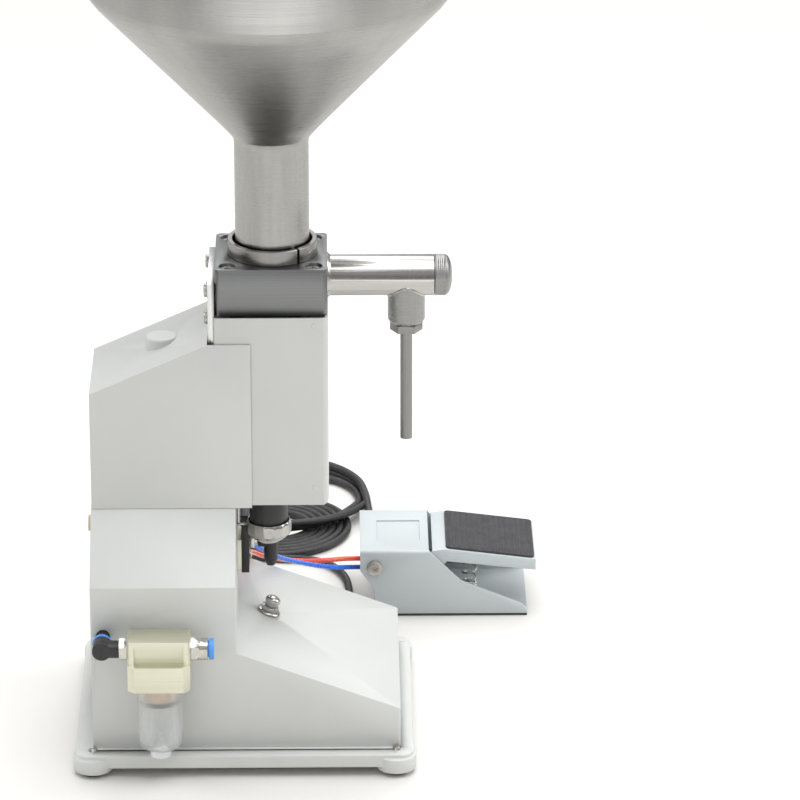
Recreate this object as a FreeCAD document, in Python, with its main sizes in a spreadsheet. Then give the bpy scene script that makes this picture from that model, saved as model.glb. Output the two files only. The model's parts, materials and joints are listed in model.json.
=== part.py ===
"""Pneumatic piston filler: hopper, valve block, pump and air cylinder in a column, sheet-metal body on a
cast base, air filter on the near side, and a foot pedal joined to it by air tubes.

Frame: millimetres, +Z up, +X from the rear of the machine towards its nozzle, Z = 0 on the table.
Machine sizes are measured from the hopper's axis, and the whole set is then moved by axis_x, axis_y so that
the origin is the centre of its footprint. The pedal is drawn in a frame of its own: u along it from the
heel, v across it, w up.
"""
import FreeCAD, Part
import math
import os
import Sketcher
from FreeCAD import Placement, Rotation, Vector

os.makedirs("parts", exist_ok=True)
doc = FreeCAD.newDocument("PistonFiller")

# ---------------------------------------------------------------- driving dimensions
DIMS = {
    # the machine's place in the row frame
    "axis_x": -28.05, "axis_y": -75.28,
    # base casting
    "base_back": -156.0, "base_front": 107.5, "base_wide": 221.0, "base_low": 7.5, "base_top": 18.0,
    "base_skin": 5.0, "base_rim": 9.0, "lug_rad": 15.5, "lug_low": 3.5, "lug_back": -142.0,
    "lug_front": 94.0, "lug_side": 99.5, "foot_rad": 10.0, "foot_tall": 5.5,
    # sheet-metal body
    "body_back": -142.0, "body_front": -30.0, "body_toe": 97.4, "body_wide": 190.0, "neck_wide": 96.0,
    "bend_z": 154.0, "body_top": 200.5, "slope_top": 98.4, "slope_low": 50.5, "sheet": 1.5,
    # column: casing, back plate, rear cover
    "case_back": -44.5, "case_front": 42.5, "case_wide": 94.0, "case_low": 202.5, "case_top": 357.0,
    "case_wall": 2.0, "plate_thick": 5.0, "plate_top": 383.0, "plate_wide": 84.0, "cover_low_z": 296.0,
    "cover_top_z": 336.0, "cover_front": -17.0, "cover_wide": 97.2, "cover_wall": 1.2,
    # valve block and ring
    "block_back": -44.0, "block_front": 42.0, "block_wide": 82.0, "block_low": 357.0, "block_top": 394.5,
    "spigot_rad": 32.0, "spigot_low": 346.5, "ring_out": 34.5, "ring_in": 30.6, "ring_tall": 11.7,
    "ring_gap": 2.2, "bore_rad": 11.0, "port_z": 375.0, "port_rad": 6.0,
    # hopper
    "tube_rad": 28.5, "hopper_wall": 1.5, "tube_low": 386.0, "cone_low": 489.5, "hopper_rad": 140.0,
    "cone_tall": 118.6, "shell_tall": 112.0, "rim_rad": 3.2,
    # outlet
    "pipe_rad": 15.8, "pipe_bore": 12.0, "pipe_end": 124.4, "tee_x": 103.0, "tee_rad": 14.4,
    "tee_low": 336.5, "cap_rad": 16.3, "cap_long": 8.6, "cap_dome": 5.2, "nut_flats": 22.0,
    "nut_low": 330.0, "nozzle_rad": 4.7, "nozzle_bore": 3.2, "nozzle_tip": 239.6, "collar_wide": 5.5,
    # cylinders under the block
    "pump_x": -5.0, "pump_rad": 20.0, "liner_wall": 4.0, "liner_low": 288.5, "liner_top": 352.5,
    "air_rad": 25.0, "air_wall": 3.0, "head_side": 66.0, "lowhead_z": 206.5, "head_thick": 12.0,
    "barrel_tall": 58.0, "rod_rad": 6.0, "tail_rad": 5.0, "fit_gap": 0.04, "stroke": 40.0,
    # volume adjuster
    "sleeve_rad": 15.0, "sleeve_low": 163.0, "sleeve_top": 209.0, "ring_nut_rad": 17.8,
    "ring_nut_low": 152.5,
    # control valve
    "valve_y": 26.0, "valve_wide": 28.0, "valve_low": 122.5, "valve_top": 147.5,
    # air filter
    "filter_x": -88.5, "filter_y": -118.5, "head_wide": 48.0, "head_deep": 25.8, "head_front": 12.9,
    "window_deep": 4.0, "head_low": 104.5, "head_top": 124.5, "collar_deep": 38.0, "collar_front": 18.5,
    "collar_corner": 5.0, "collar_low": 84.5, "bowl_rad": 17.5, "bowl_low": 30.0, "bowl_wall": 2.2,
    "port_level": 113.5, "inlet_rad": 4.1, "elbow_x": -132.5, "link_rad": 5.0,
    # foot pedal
    "pedal_x": 67.6, "pedal_y": 190.0, "pedal_wide": 89.0, "pedal_wall": 3.0, "pedal_top": 58.5,
    "pivot_u": 12.0, "pivot_w": 43.8, "pad_thick": 2.0, "treadle_end": 146.0,
    # tubes and hose
    "tube_dia": 4.0, "hose_dia": 6.5, "neck_rad": 5.0, "bundle_x": -4.0, "bundle_y": 370.0,
    "bundle_out": 72.0, "bundle_in": 28.0, "bundle_tall": 20.0, "loop_x": -8.0, "loop_y": 428.0,
    "loop_out": 87.5, "loop_in": 74.0, "loop_tall": 13.5,
}

sheet = doc.addObject("Spreadsheet::Sheet", "D")
for row, (alias, value) in enumerate(DIMS.items(), start=1):
    cell = "B%d" % row
    sheet.set("A%d" % row, alias)
    sheet.set(cell, str(value))
    sheet.setAlias(cell, alias)
doc.recompute()

MACHINE, PEDAL = "machine", "pedal"
parts = {}


def size(alias):
    """A driving dimension read back from the sheet."""
    return float(sheet.get(alias))


def bind(obj, prop, value):
    """Bind a property to a number or to an expression in the sheet's aliases."""
    obj.setExpression(prop, str(value))


def put(obj, at, turn=None, frame=MACHINE):
    """Place an object at three coordinates of its frame, each a number or an expression."""
    x, y, z = [str(value) for value in at]
    if frame == MACHINE:
        spot = ["D.axis_x + (%s)" % x, "D.axis_y + (%s)" % y, z]
    else:
        spot = ["D.axis_x + D.pedal_x + (%s)" % x, "D.axis_y + D.pedal_y + (%s)" % y, z]
    obj.Placement = Placement(Vector(), turn or Rotation())
    for axis, value in zip("xyz", spot):
        obj.setExpression(".Placement.Base.%s" % axis, value)


AIM = {"z": Rotation(), "x": Rotation(Vector(0, 1, 0), 90), "y": Rotation(Vector(1, 0, 0), -90),
       "-z": Rotation(Vector(1, 0, 0), 180), "-x": Rotation(Vector(0, 1, 0), -90),
       "-y": Rotation(Vector(1, 0, 0), 90)}


def primitive(kind, sizes, at, aim="z", frame=MACHINE, turn=None):
    """A Part primitive with bound sizes; aim is the direction of its own Z axis."""
    obj = doc.addObject("Part::" + kind, kind)
    for prop, value in sizes.items():
        bind(obj, prop, value)
    put(obj, at, turn or AIM[aim], frame)
    return obj


def rod(rad, tall, at, aim="z", frame=MACHINE):
    return primitive("Cylinder", {"Radius": rad, "Height": tall}, at, aim, frame)


def cone(rad, tip, tall, at, aim="z", frame=MACHINE):
    return primitive("Cone", {"Radius1": rad, "Radius2": tip, "Height": tall}, at, aim, frame)


def brick(sides, at, frame=MACHINE):
    return primitive("Box", dict(zip(("Length", "Width", "Height"), sides)), at, "z", frame)


def hexagon(flats, tall, at, aim="z", frame=MACHINE):
    obj = doc.addObject("Part::Prism", "Prism")
    obj.Polygon = 6
    bind(obj, "Circumradius", "(%s) / 2 / cos(30)" % flats)
    bind(obj, "Height", tall)
    put(obj, at, AIM[aim], frame)
    return obj


def fuse(*shapes):
    obj = doc.addObject("Part::MultiFuse", "Fusion")
    obj.Shapes = list(shapes)
    obj.Refine = True
    return obj


def cut(base, *tools):
    obj = doc.addObject("Part::Cut", "Cut")
    obj.Base = base
    obj.Tool = tools[0] if len(tools) == 1 else fuse(*tools)
    obj.Refine = True
    return obj


def pipe(outer, inner, tall, at, aim="z", frame=MACHINE):
    """A straight tube."""
    base = rod(outer, tall, at, aim, frame)
    return cut(base, rod(inner, tall, at, aim, frame))


def group(*shapes):
    """Separate solids kept in one node, such as a set of screws."""
    obj = doc.addObject("Part::Compound", "Set")
    obj.Links = list(shapes)
    return obj


def rounded(base, radius, wanted):
    """Fillet the edges of base for which wanted(edge) is true."""
    doc.recompute()
    obj = doc.addObject("Part::Fillet", "Fillet")
    obj.Base = base
    picked = [i for i, edge in enumerate(base.Shape.Edges, start=1) if wanted(edge)]
    if not picked:
        raise RuntimeError("no edge to round on " + base.Name)
    obj.Edges = [(i, radius, radius) for i in picked]
    return obj


def chamfered(base, reach, wanted):
    """Chamfer the edges of base for which wanted(edge) is true by a size of the sheet."""
    doc.recompute()
    obj = doc.addObject("Part::Chamfer", "Chamfer")
    obj.Base = base
    length = size(reach.replace("D.", ""))
    obj.Edges = [(i, length, length) for i, edge in enumerate(base.Shape.Edges, start=1) if wanted(edge)]
    return obj


def along(axis, least=0.0):
    """An edge test: straight, along one axis, and at least so long."""
    def test(edge):
        if not isinstance(edge.Curve, Part.Line) or edge.Length < least:
            return False
        return abs(abs(edge.tangentAt(edge.FirstParameter).dot(axis)) - 1) < 1e-6
    return test


def circle_at(z, radius):
    """An edge test: a circle of this radius about a vertical axis at this height."""
    def test(edge):
        return (isinstance(edge.Curve, Part.Circle) and abs(edge.Curve.Radius - radius) < 1e-3
                and abs(edge.Curve.Center.z - z) < 1e-3)
    return test


def keep(node, obj):
    """Name a finished sub-part."""
    obj.Label = node
    parts[node] = obj
    return obj


# ---------------------------------------------------------------- sketch-based bodies
def outline(body, plane, corners, name, lift="0"):
    """A closed sketch of straight lines whose corners are held by bound distances from the origin."""
    sketch = body.newObject("Sketcher::SketchObject", name)
    origin_plane = [o for o in body.Origin.OriginFeatures if o.Role == plane][0]
    sketch.AttachmentSupport = (origin_plane, [""])
    sketch.MapMode = "FlatFace"
    sketch.setExpression(".AttachmentOffset.Base.z", lift)
    count = len(corners)
    start = [Vector(10 * math.cos(2 * math.pi * i / count), 10 * math.sin(2 * math.pi * i / count), 0)
             for i in range(count)]
    for i in range(count):
        sketch.addGeometry(Part.LineSegment(start[i], start[(i + 1) % count]), False)
    for i in range(count):
        sketch.addConstraint(Sketcher.Constraint("Coincident", i, 2, (i + 1) % count, 1))
    for i, corner in enumerate(corners):
        for kind, reach in zip(("DistanceX", "DistanceY"), corner):
            index = sketch.addConstraint(Sketcher.Constraint(kind, -1, 1, i, 1, 1.0))
            sketch.setExpression("Constraints[%d]" % index, str(reach))
    return sketch


def new_body(name):
    return doc.addObject("PartDesign::Body", name)


def turned(name, corners, at, aim="z", frame=MACHINE):
    """A body of revolution: corners are (radius, height) in the XZ plane, turned about the body's Z axis."""
    body = new_body(name)
    sketch = outline(body, "XZ_Plane", corners, name + "_profile")
    feature = body.newObject("PartDesign::Revolution", name + "_turn")
    feature.Profile = sketch
    feature.ReferenceAxis = (sketch, ["V_Axis"])
    feature.Angle = 360
    put(body, at, AIM[aim], frame)
    return body


def side_pad(name, corners, width, frame=MACHINE, at=(0, 0, 0)):
    """A body padded evenly to both sides of the XZ plane from an outline in x and z."""
    body = new_body(name)
    sketch = outline(body, "XZ_Plane", corners, name + "_side")
    feature = body.newObject("PartDesign::Pad", name + "_pad")
    feature.Profile = sketch
    feature.Midplane = True
    feature.setExpression("Length", width)
    put(body, at, None, frame)
    return body


# ---------------------------------------------------------------- base
LUGS = [(x, y) for x in ("D.lug_back", "D.lug_front") for y in ("D.lug_side", "-D.lug_side")]


def make_base():
    base_long = "D.base_front - D.base_back"
    plate = brick((base_long, "D.base_wide", "D.base_top - D.base_low"),
                  ("D.base_back", "-D.base_wide / 2", "D.base_low"))
    plate = rounded(plate, 10.0, along(Vector(0, 0, 1)))
    inside_long = base_long + " - 2 * D.base_rim"
    pocket = brick((inside_long, "D.base_wide - 2 * D.base_rim", "D.base_top - D.base_low"),
                   ("D.base_back + D.base_rim", "-D.base_wide / 2 + D.base_rim", "D.base_low - D.base_skin"))
    lugs = [rod("D.lug_rad", "D.base_top - 3 - D.lug_low", (x, y, "D.lug_low")) for x, y in LUGS]
    sockets = [rod("D.foot_rad + 0.05", "D.foot_tall - D.lug_low + 1.5", (x, y, "D.lug_low"))
               for x, y in LUGS]
    holes = [rod(2.2, "D.base_top", (x, y, "D.lug_low")) for x, y in LUGS]
    ribs = [brick((inside_long, 5, "D.base_top - D.base_low - D.base_skin"),
                  ("D.base_back + D.base_rim", "%s - 2.5" % y, "D.base_low")) for y in (-50, 0, 50)]
    keep("base_casting", cut(fuse(cut(plate, pocket), *(lugs + ribs)), *(sockets + holes)))

    feet = []
    for x, y in LUGS:
        foot = cut(fuse(rod("D.foot_rad", "D.foot_tall", (x, y, 0)), rod(6, 1.4, (x, y, "D.foot_tall"))),
                   rod(2.2, 12, (x, y, 0)), rod(4.6, 2.6, (x, y, 0)))
        feet.append(foot)
    keep("rubber_feet", group(*feet))

    screws = []
    for x, y in LUGS:
        head = cone(3.6, 2.6, 2.2, (x, y, "D.base_top"))
        shank = rod(2.0, "D.base_top - 3", (x, y, 3))
        slot = brick((5.4, 1.0, 1.2), ("%s - 2.7" % x, "%s - 0.5" % y, "D.base_top + 1.2"))
        screws.append(cut(fuse(head, shank), slot))
    keep("foot_screws", group(*screws))


# ---------------------------------------------------------------- sheet-metal body
def body_solid(name, inset, floor):
    """The body's outer or inner form: a tower with a sloping platform, tapered above the bend."""
    form = side_pad(name, [
        ("D.body_back + %s" % inset, floor),
        ("D.body_back + %s" % inset, "D.body_top - %s" % inset),
        ("D.body_front - %s" % inset, "D.body_top - %s" % inset),
        ("D.body_front - %s" % inset, "D.slope_top - %s" % inset),
        ("D.body_toe - %s" % inset, "D.slope_low - %s" % inset),
        ("D.body_toe - %s" % inset, floor)], "D.body_wide - 2 * %s" % inset)
    for side in (1, -1):
        sketch = outline(form, "YZ_Plane", [
            ("%d * (D.body_wide / 2 - %s)" % (side, inset), "D.bend_z"),
            ("%d * (D.neck_wide / 2 - %s)" % (side, inset), "D.body_top"),
            ("%d * D.body_wide" % side, "D.body_top"),
            ("%d * D.body_wide" % side, "D.bend_z")], "%s_taper%d" % (name, side + 1))
        trim = form.newObject("PartDesign::Pocket", "%s_cut%d" % (name, side + 1))
        trim.Profile = sketch
        trim.Type = "ThroughAll"
        trim.Midplane = True
    return form


def make_body():
    outer = body_solid("body_outer", "0", "D.base_top")
    inner = body_solid("body_inner", "D.sheet", "D.base_top - 1")
    front_window = brick((4, "D.valve_wide + 1", "D.valve_top - D.valve_low + 26"),
                         ("D.body_front - 2.5", "D.valve_y - D.valve_wide / 2 - 0.5", "D.valve_low - 0.5"))
    top_window = brick((60, 70, 4), ("D.body_front - 80", -35, "D.body_top - 2.5"))
    link_hole = rod("D.link_rad + 0.5", 6, ("D.elbow_x", "-D.body_wide / 2 - 2", "D.port_level"), "y")
    hose_hole = rod("D.neck_rad + 0.1", 6, (52, "D.body_wide / 2 - 4", 36), "y")
    rear_holes = [rod(r, 6, ("D.body_back - 2", 0, z), "x") for r, z in ((6.5, 168), (5.0, 141))]
    stud_hole = rod(4.3, 14, (-6, 3, 82))
    shell = cut(outer, inner, front_window, top_window, link_hole, hose_hole, stud_hole, *rear_holes)
    keep("body_shell", rounded(shell, 2.0, slope_corner))


def slope_corner(edge):
    """The far and near corners of the sloping platform's front edge, as the sheet is bent there."""
    if not along(Vector(0, 0, 1), 20)(edge):
        return False
    x = edge.CenterOfMass.x - size("axis_x")
    z = edge.BoundBox.ZMax
    return abs(x - size("body_toe")) < 0.01 and abs(z - size("slope_low")) < 0.5


# ---------------------------------------------------------------- slope stud
SLOPE_FALL = (size("slope_top") - size("slope_low")) / (size("body_toe") - size("body_front"))
STUD_X, STUD_Y = -6.0, 3.0


def make_stud():
    """A stud through the platform, with its flange nut and dome nut."""
    level = size("slope_top") - SLOPE_FALL * (STUD_X - size("body_front"))
    tilt = Rotation(Vector(0, 1, 0), math.degrees(math.atan(SLOPE_FALL)))
    up = tilt.multVec(Vector(0, 0, 1))

    def spot(height):
        return (STUD_X + up.x * height, STUD_Y, level + up.z * height)

    def piece(kind, sizes, height):
        return primitive(kind, sizes, spot(height), turn=tilt)

    stud = piece("Cylinder", {"Radius": 3.95, "Height": 26}, -14)
    flange = piece("Cylinder", {"Radius": 8.6, "Height": 1.8}, 0.05)
    nut = doc.addObject("Part::Prism", "Prism")
    nut.Polygon = 6
    bind(nut, "Circumradius", "13 / 2 / cos(30)")
    bind(nut, "Height", 6.0)
    put(nut, spot(1.5), tilt)
    flange_nut = cut(fuse(flange, nut), piece("Cylinder", {"Radius": 4.0, "Height": 12}, -2))
    dome_base = piece("Cylinder", {"Radius": 6.2, "Height": 4.2}, 7.7)
    dome_top = doc.addObject("Part::Sphere", "Sphere")
    bind(dome_top, "Radius", 6.2)
    dome_top.Angle1 = 0
    put(dome_top, spot(11.85), tilt)
    dome_nut = cut(fuse(dome_base, dome_top), piece("Cylinder", {"Radius": 4.0, "Height": 8}, 5))
    keep("slope_stud", group(stud, flange_nut, dome_nut))


# ---------------------------------------------------------------- column
def make_column():
    sides = ("D.case_front - D.case_back", "D.case_wide", "D.case_top - D.case_low")
    outer = brick(sides, ("D.case_back", "-D.case_wide / 2", "D.case_low"))
    front_x = size("axis_x") + size("case_front")

    def front_edge(edge):
        if abs(edge.CenterOfMass.x - front_x) > 0.01:
            return False
        upright = along(Vector(0, 0, 1))(edge)
        low = along(Vector(0, 1, 0))(edge) and abs(edge.CenterOfMass.z - size("case_low")) < 0.01
        return upright or low

    outer = rounded(outer, 5.0, front_edge)
    inner = brick(("D.case_front - D.case_back - D.case_wall + 1", "D.case_wide - 2 * D.case_wall",
                   "D.case_top - D.case_low"),
                  ("D.case_back - 1", "-D.case_wide / 2 + D.case_wall", "D.case_low + D.case_wall"))
    inner = rounded(inner, 3.0, lambda e: along(Vector(0, 0, 1))(e) and e.CenterOfMass.x > front_x - 10)
    hole = rod("D.sleeve_rad + 1.2", 8, ("D.pump_x", 0, "D.case_low - 3"))
    screw_holes = [rod(2.3, 8, ("D.pump_x", y, "D.case_low - 3")) for y in (-24, 24)]
    keep("column_casing", cut(outer, inner, hole, *screw_holes))

    plate = brick(("D.plate_thick", "D.plate_wide", "D.plate_top - D.case_low"),
                  ("D.case_back - D.plate_thick", "-D.plate_wide / 2", "D.case_low"))
    plate_holes = [rod(3.2, 20, ("D.case_back - 10", y, z), "x") for y in (-32, 32) for z in (375, 353)]
    foot_holes = [rod(3.2, 20, ("D.case_back - 10", y, "D.lowhead_z + D.head_thick / 2"), "x")
                  for y in (-22, 22)]
    spacer = brick(("D.pump_x - D.head_side / 2 - D.case_back", 56, "D.head_thick"),
                   ("D.case_back", -28, "D.lowhead_z"))
    keep("back_plate", cut(fuse(plate, spacer), *(plate_holes + foot_holes)))

    def rear_screw(y, z, reach):
        head = rounded(rod(5.2, 3.0, ("D.case_back - D.plate_thick - 3", y, z), "x"), 1.4,
                       lambda e: isinstance(e.Curve, Part.Circle)
                       and e.CenterOfMass.x < size("axis_x") + size("case_back") - size("plate_thick") - 2)
        shank = rod(3.0, reach, ("D.case_back - D.plate_thick - 0.5", y, z), "x")
        key = hexagon(4.0, 1.6, ("D.case_back - D.plate_thick - 3.1", y, z), "x")
        return cut(fuse(head, shank), key)

    screws = [rear_screw(y, z, 12) for y in (-32, 32) for z in (375, 353)]
    screws += [rear_screw(y, "D.lowhead_z + D.head_thick / 2", 14) for y in (-22, 22)]
    for y in (-24, 24):
        head = rounded(rod(4.4, 2.6, ("D.pump_x", y, "D.case_low - 2.6")), 1.5,
                       circle_at(size("case_low") - 2.6, 4.4))
        screws.append(fuse(head, rod(2.0, 11, ("D.pump_x", y, "D.case_low - 1"))))
    return screws


def make_rear_cover():
    """A folded cover behind the column, with a round boss on its sloping roof."""
    cover_side = [
        ("D.body_back + 0.7", "D.body_top + 0.3"), ("D.cover_front", "D.body_top + 0.3"),
        ("D.cover_front", "D.cover_top_z"), ("D.case_back - D.plate_thick - 1", "D.cover_top_z"),
        ("D.body_back + 0.7", "D.cover_low_z")]
    outer = side_pad("cover_outer", cover_side, "D.cover_wide")
    inside = [
        ("D.body_back + 0.7 + D.cover_wall", "D.body_top - 2"), ("D.cover_front + 4", "D.body_top - 2"),
        ("D.cover_front + 4", "D.cover_top_z + 4"),
        ("D.case_back - D.plate_thick - 0.6", "D.cover_top_z + 4"),
        ("D.case_back - D.plate_thick - 0.6", "D.cover_top_z - D.cover_wall"),
        ("D.body_back + 0.7 + D.cover_wall", "D.cover_low_z - D.cover_wall")]
    inner = side_pad("cover_inner", inside, "D.cover_wide - 2 * D.cover_wall")
    boss = rounded(rod(12.5, 24, (-86.5, 0, 302)), 2.0,
                   lambda e: isinstance(e.Curve, Part.Circle) and abs(e.CenterOfMass.z - 326) < 0.01)
    keep("rear_cover", cut(fuse(outer, boss), inner))


# ---------------------------------------------------------------- valve block
def make_block():
    block = brick(("D.block_front - D.block_back", "D.block_wide", "D.block_top - D.block_low"),
                  ("D.block_back", "-D.block_wide / 2", "D.block_low"))
    block = rounded(block, 4.0, along(Vector(0, 0, 1)))
    spigot = rod("D.spigot_rad", "D.block_low - D.spigot_low", ("D.pump_x", 0, "D.spigot_low"))
    hopper_socket = rod("D.tube_rad + 0.1", 20, (0, 0, "D.tube_low"))
    throat = cone("D.bore_rad", "D.tube_rad - 2", 6, (0, 0, "D.tube_low - 6"))
    bore = rod("D.bore_rad", 60, (0, 0, "D.spigot_low - 1"))
    liner_socket = rod("D.pump_rad + D.liner_wall + 0.05", "D.liner_top - D.spigot_low + 1",
                       ("D.pump_x", 0, "D.spigot_low - 1"))
    outlet = rod("D.port_rad", 60, (0, 0, "D.port_z"), "x")
    screw_spots = [(x, y) for x in (-34, 32) for y in (-31.5, 31.5)]
    heads = [rod(6.4, 8, (x, y, "D.block_top - 7")) for x, y in screw_spots]
    holes = [rod(3.3, 60, (x, y, "D.block_low - 5")) for x, y in screw_spots]
    rear = [rod(3.0, 7, ("D.block_back - 1", y, 375), "x") for y in (-32, 32)]
    keep("valve_block", cut(fuse(block, spigot), hopper_socket, throat, bore, liner_socket, outlet,
                            *(heads + holes + rear)))
    screws = []
    for x, y in screw_spots:
        head = rod(5.4, 5.0, (x, y, "D.block_top - 7"))
        shank = rod(3.0, "D.block_top - D.block_low - 6", (x, y, "D.block_low"))
        key = hexagon(5.0, 3.0, (x, y, "D.block_top - 4.6"))
        screws.append(cut(fuse(head, shank), key))
    return screws


def make_split_ring():
    ring = pipe("D.ring_out", "D.ring_in", "D.ring_tall", (0, 0, "D.block_top"))
    slot = primitive("Box", {"Length": 10, "Width": "D.ring_gap", "Height": "D.ring_tall"},
                     (0, 0, "D.block_top"), turn=Rotation(Vector(0, 0, 1), -54))
    slot.setExpression(".Placement.Base.x", "D.axis_x + 29 * cos(54)")
    slot.setExpression(".Placement.Base.y", "D.axis_y - 29 * sin(54)")
    keep("split_ring", cut(ring, slot))


def make_hopper():
    wall = "D.hopper_wall"
    shell = turned("hopper", [
        ("D.tube_rad - %s" % wall, 0),
        ("D.tube_rad", 0),
        ("D.tube_rad", "D.cone_low - D.tube_low"),
        ("D.hopper_rad", "D.cone_low - D.tube_low + D.cone_tall"),
        ("D.hopper_rad", "D.cone_low - D.tube_low + D.cone_tall + D.shell_tall"),
        ("D.hopper_rad - %s" % wall, "D.cone_low - D.tube_low + D.cone_tall + D.shell_tall"),
        ("D.hopper_rad - %s" % wall, "D.cone_low - D.tube_low + D.cone_tall + 0.6"),
        ("D.tube_rad - %s" % wall, "D.cone_low - D.tube_low + 0.6")], (0, 0, "D.tube_low"))
    rim_z = "D.cone_low + D.cone_tall + D.shell_tall"
    bead = primitive("Torus", {"Radius1": "D.hopper_rad - D.hopper_wall / 2", "Radius2": "D.rim_rad"},
                     (0, 0, rim_z))
    keep("hopper", fuse(shell, bead))


# ---------------------------------------------------------------- outlet
def make_outlet():
    barrel = rod("D.pipe_rad", "D.pipe_end - D.block_front", ("D.block_front", 0, "D.port_z"), "x")
    weld = cone("D.pipe_rad + 2.2", "D.pipe_rad", 2.6, ("D.block_front", 0, "D.port_z"), "x")
    branch = rod("D.tee_rad", "D.port_z - D.tee_low - 3", ("D.tee_x", 0, "D.tee_low + 3"))
    chamfer = cone("D.tee_rad - 2.4", "D.tee_rad", 3, ("D.tee_x", 0, "D.tee_low"))
    bore = rod("D.pipe_bore", "D.pipe_end - D.block_front - 6", ("D.block_front + 6.5", 0, "D.port_z"), "x")
    entry = rod("D.port_rad", 20, ("D.block_front - 1", 0, "D.port_z"), "x")
    drop = rod(7.0, "D.port_z - D.tee_low + 2", ("D.tee_x", 0, "D.tee_low - 1"))
    keep("outlet_pipe", cut(fuse(barrel, weld, branch, chamfer), bore, entry, drop))

    disc = rod(9.5, 3, ("D.block_front + 11.8", 0, "D.port_z"), "x")
    stem = rod(2.5, 26, ("D.block_front + 14", 0, "D.port_z"), "x")
    keep("outlet_poppet", fuse(disc, stem))
    keep("outlet_spring", pipe(7.5, 6.3, 43, ("D.block_front + 22.5", 0, "D.port_z"), "x"))

    knob = rod("D.cap_rad", "D.cap_long", ("D.pipe_end + 0.3", 0, "D.port_z"), "x")
    crown = cone("D.cap_rad - 1.2", "D.cap_rad - 7", "D.cap_dome",
                 ("D.pipe_end + 0.3 + D.cap_long", 0, "D.port_z"), "x")
    plug = rod("D.pipe_bore - D.fit_gap", 14, ("D.pipe_end - 13.7", 0, "D.port_z"), "x")
    recess = rod(8.5, 3.5, ("D.pipe_end - 13.7", 0, "D.port_z"), "x")
    keep("end_cap", cut(fuse(knob, crown, plug), recess))

    nut = hexagon("D.nut_flats", "D.tee_low - D.nut_low - 0.3", ("D.tee_x", 0, "D.nut_low"))
    nut_bore = rod("D.collar_wide + 0.1", 4, ("D.tee_x", 0, "D.nut_low - 1"))
    nut_well = rod(8.3, 8, ("D.tee_x", 0, "D.nut_low + 2.5"))
    keep("nozzle_nut", cut(nut, nut_bore, nut_well))
    tube = rod("D.nozzle_rad", "D.tee_low - D.nozzle_tip", ("D.tee_x", 0, "D.nozzle_tip"))
    flange = rod(8.0, "D.tee_low - D.nut_low - 2.8", ("D.tee_x", 0, "D.nut_low + 2.8"))
    shoulder = rod("D.collar_wide", "D.tee_low - D.nut_low + 1.5", ("D.tee_x", 0, "D.nut_low - 1.5"))
    nozzle_hole = rod("D.nozzle_bore", 120, ("D.tee_x", 0, "D.nozzle_tip - 2"))
    keep("nozzle_tube", cut(fuse(tube, shoulder, flange), nozzle_hole))


# ---------------------------------------------------------------- inlet valve
def make_inlet():
    inlet_seat = pipe("D.bore_rad", 8.0, 4, (0, 0, "D.tube_low - 10"))
    outlet_seat = pipe("D.pipe_bore", 6.5, 5, ("D.block_front + 6.5", 0, "D.port_z"), "x")
    disc = rod(9.6, 3, (0, 0, "D.tube_low - 13.3"))
    stem = rod(2.5, 14, (0, 0, "D.tube_low - 26.5"))
    keep("inlet_poppet", fuse(disc, stem))
    keep("inlet_spring", pipe(5.0, 4.0, 10.5, (0, 0, "D.tube_low - 24")))
    spider = pipe("D.bore_rad", 2.54, 3, (0, 0, "D.tube_low - 27.2"))
    windows = [brick((5, 5, 6), (x, y, "D.tube_low - 29")) for x, y in ((-8.5, -2.5), (3.5, -2.5))]
    windows += [brick((5, 5, 6), (x, y, "D.tube_low - 29")) for x, y in ((-2.5, -8.5), (-2.5, 3.5))]
    keep("valve_seats", group(inlet_seat, outlet_seat, cut(spider, *windows)))


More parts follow.
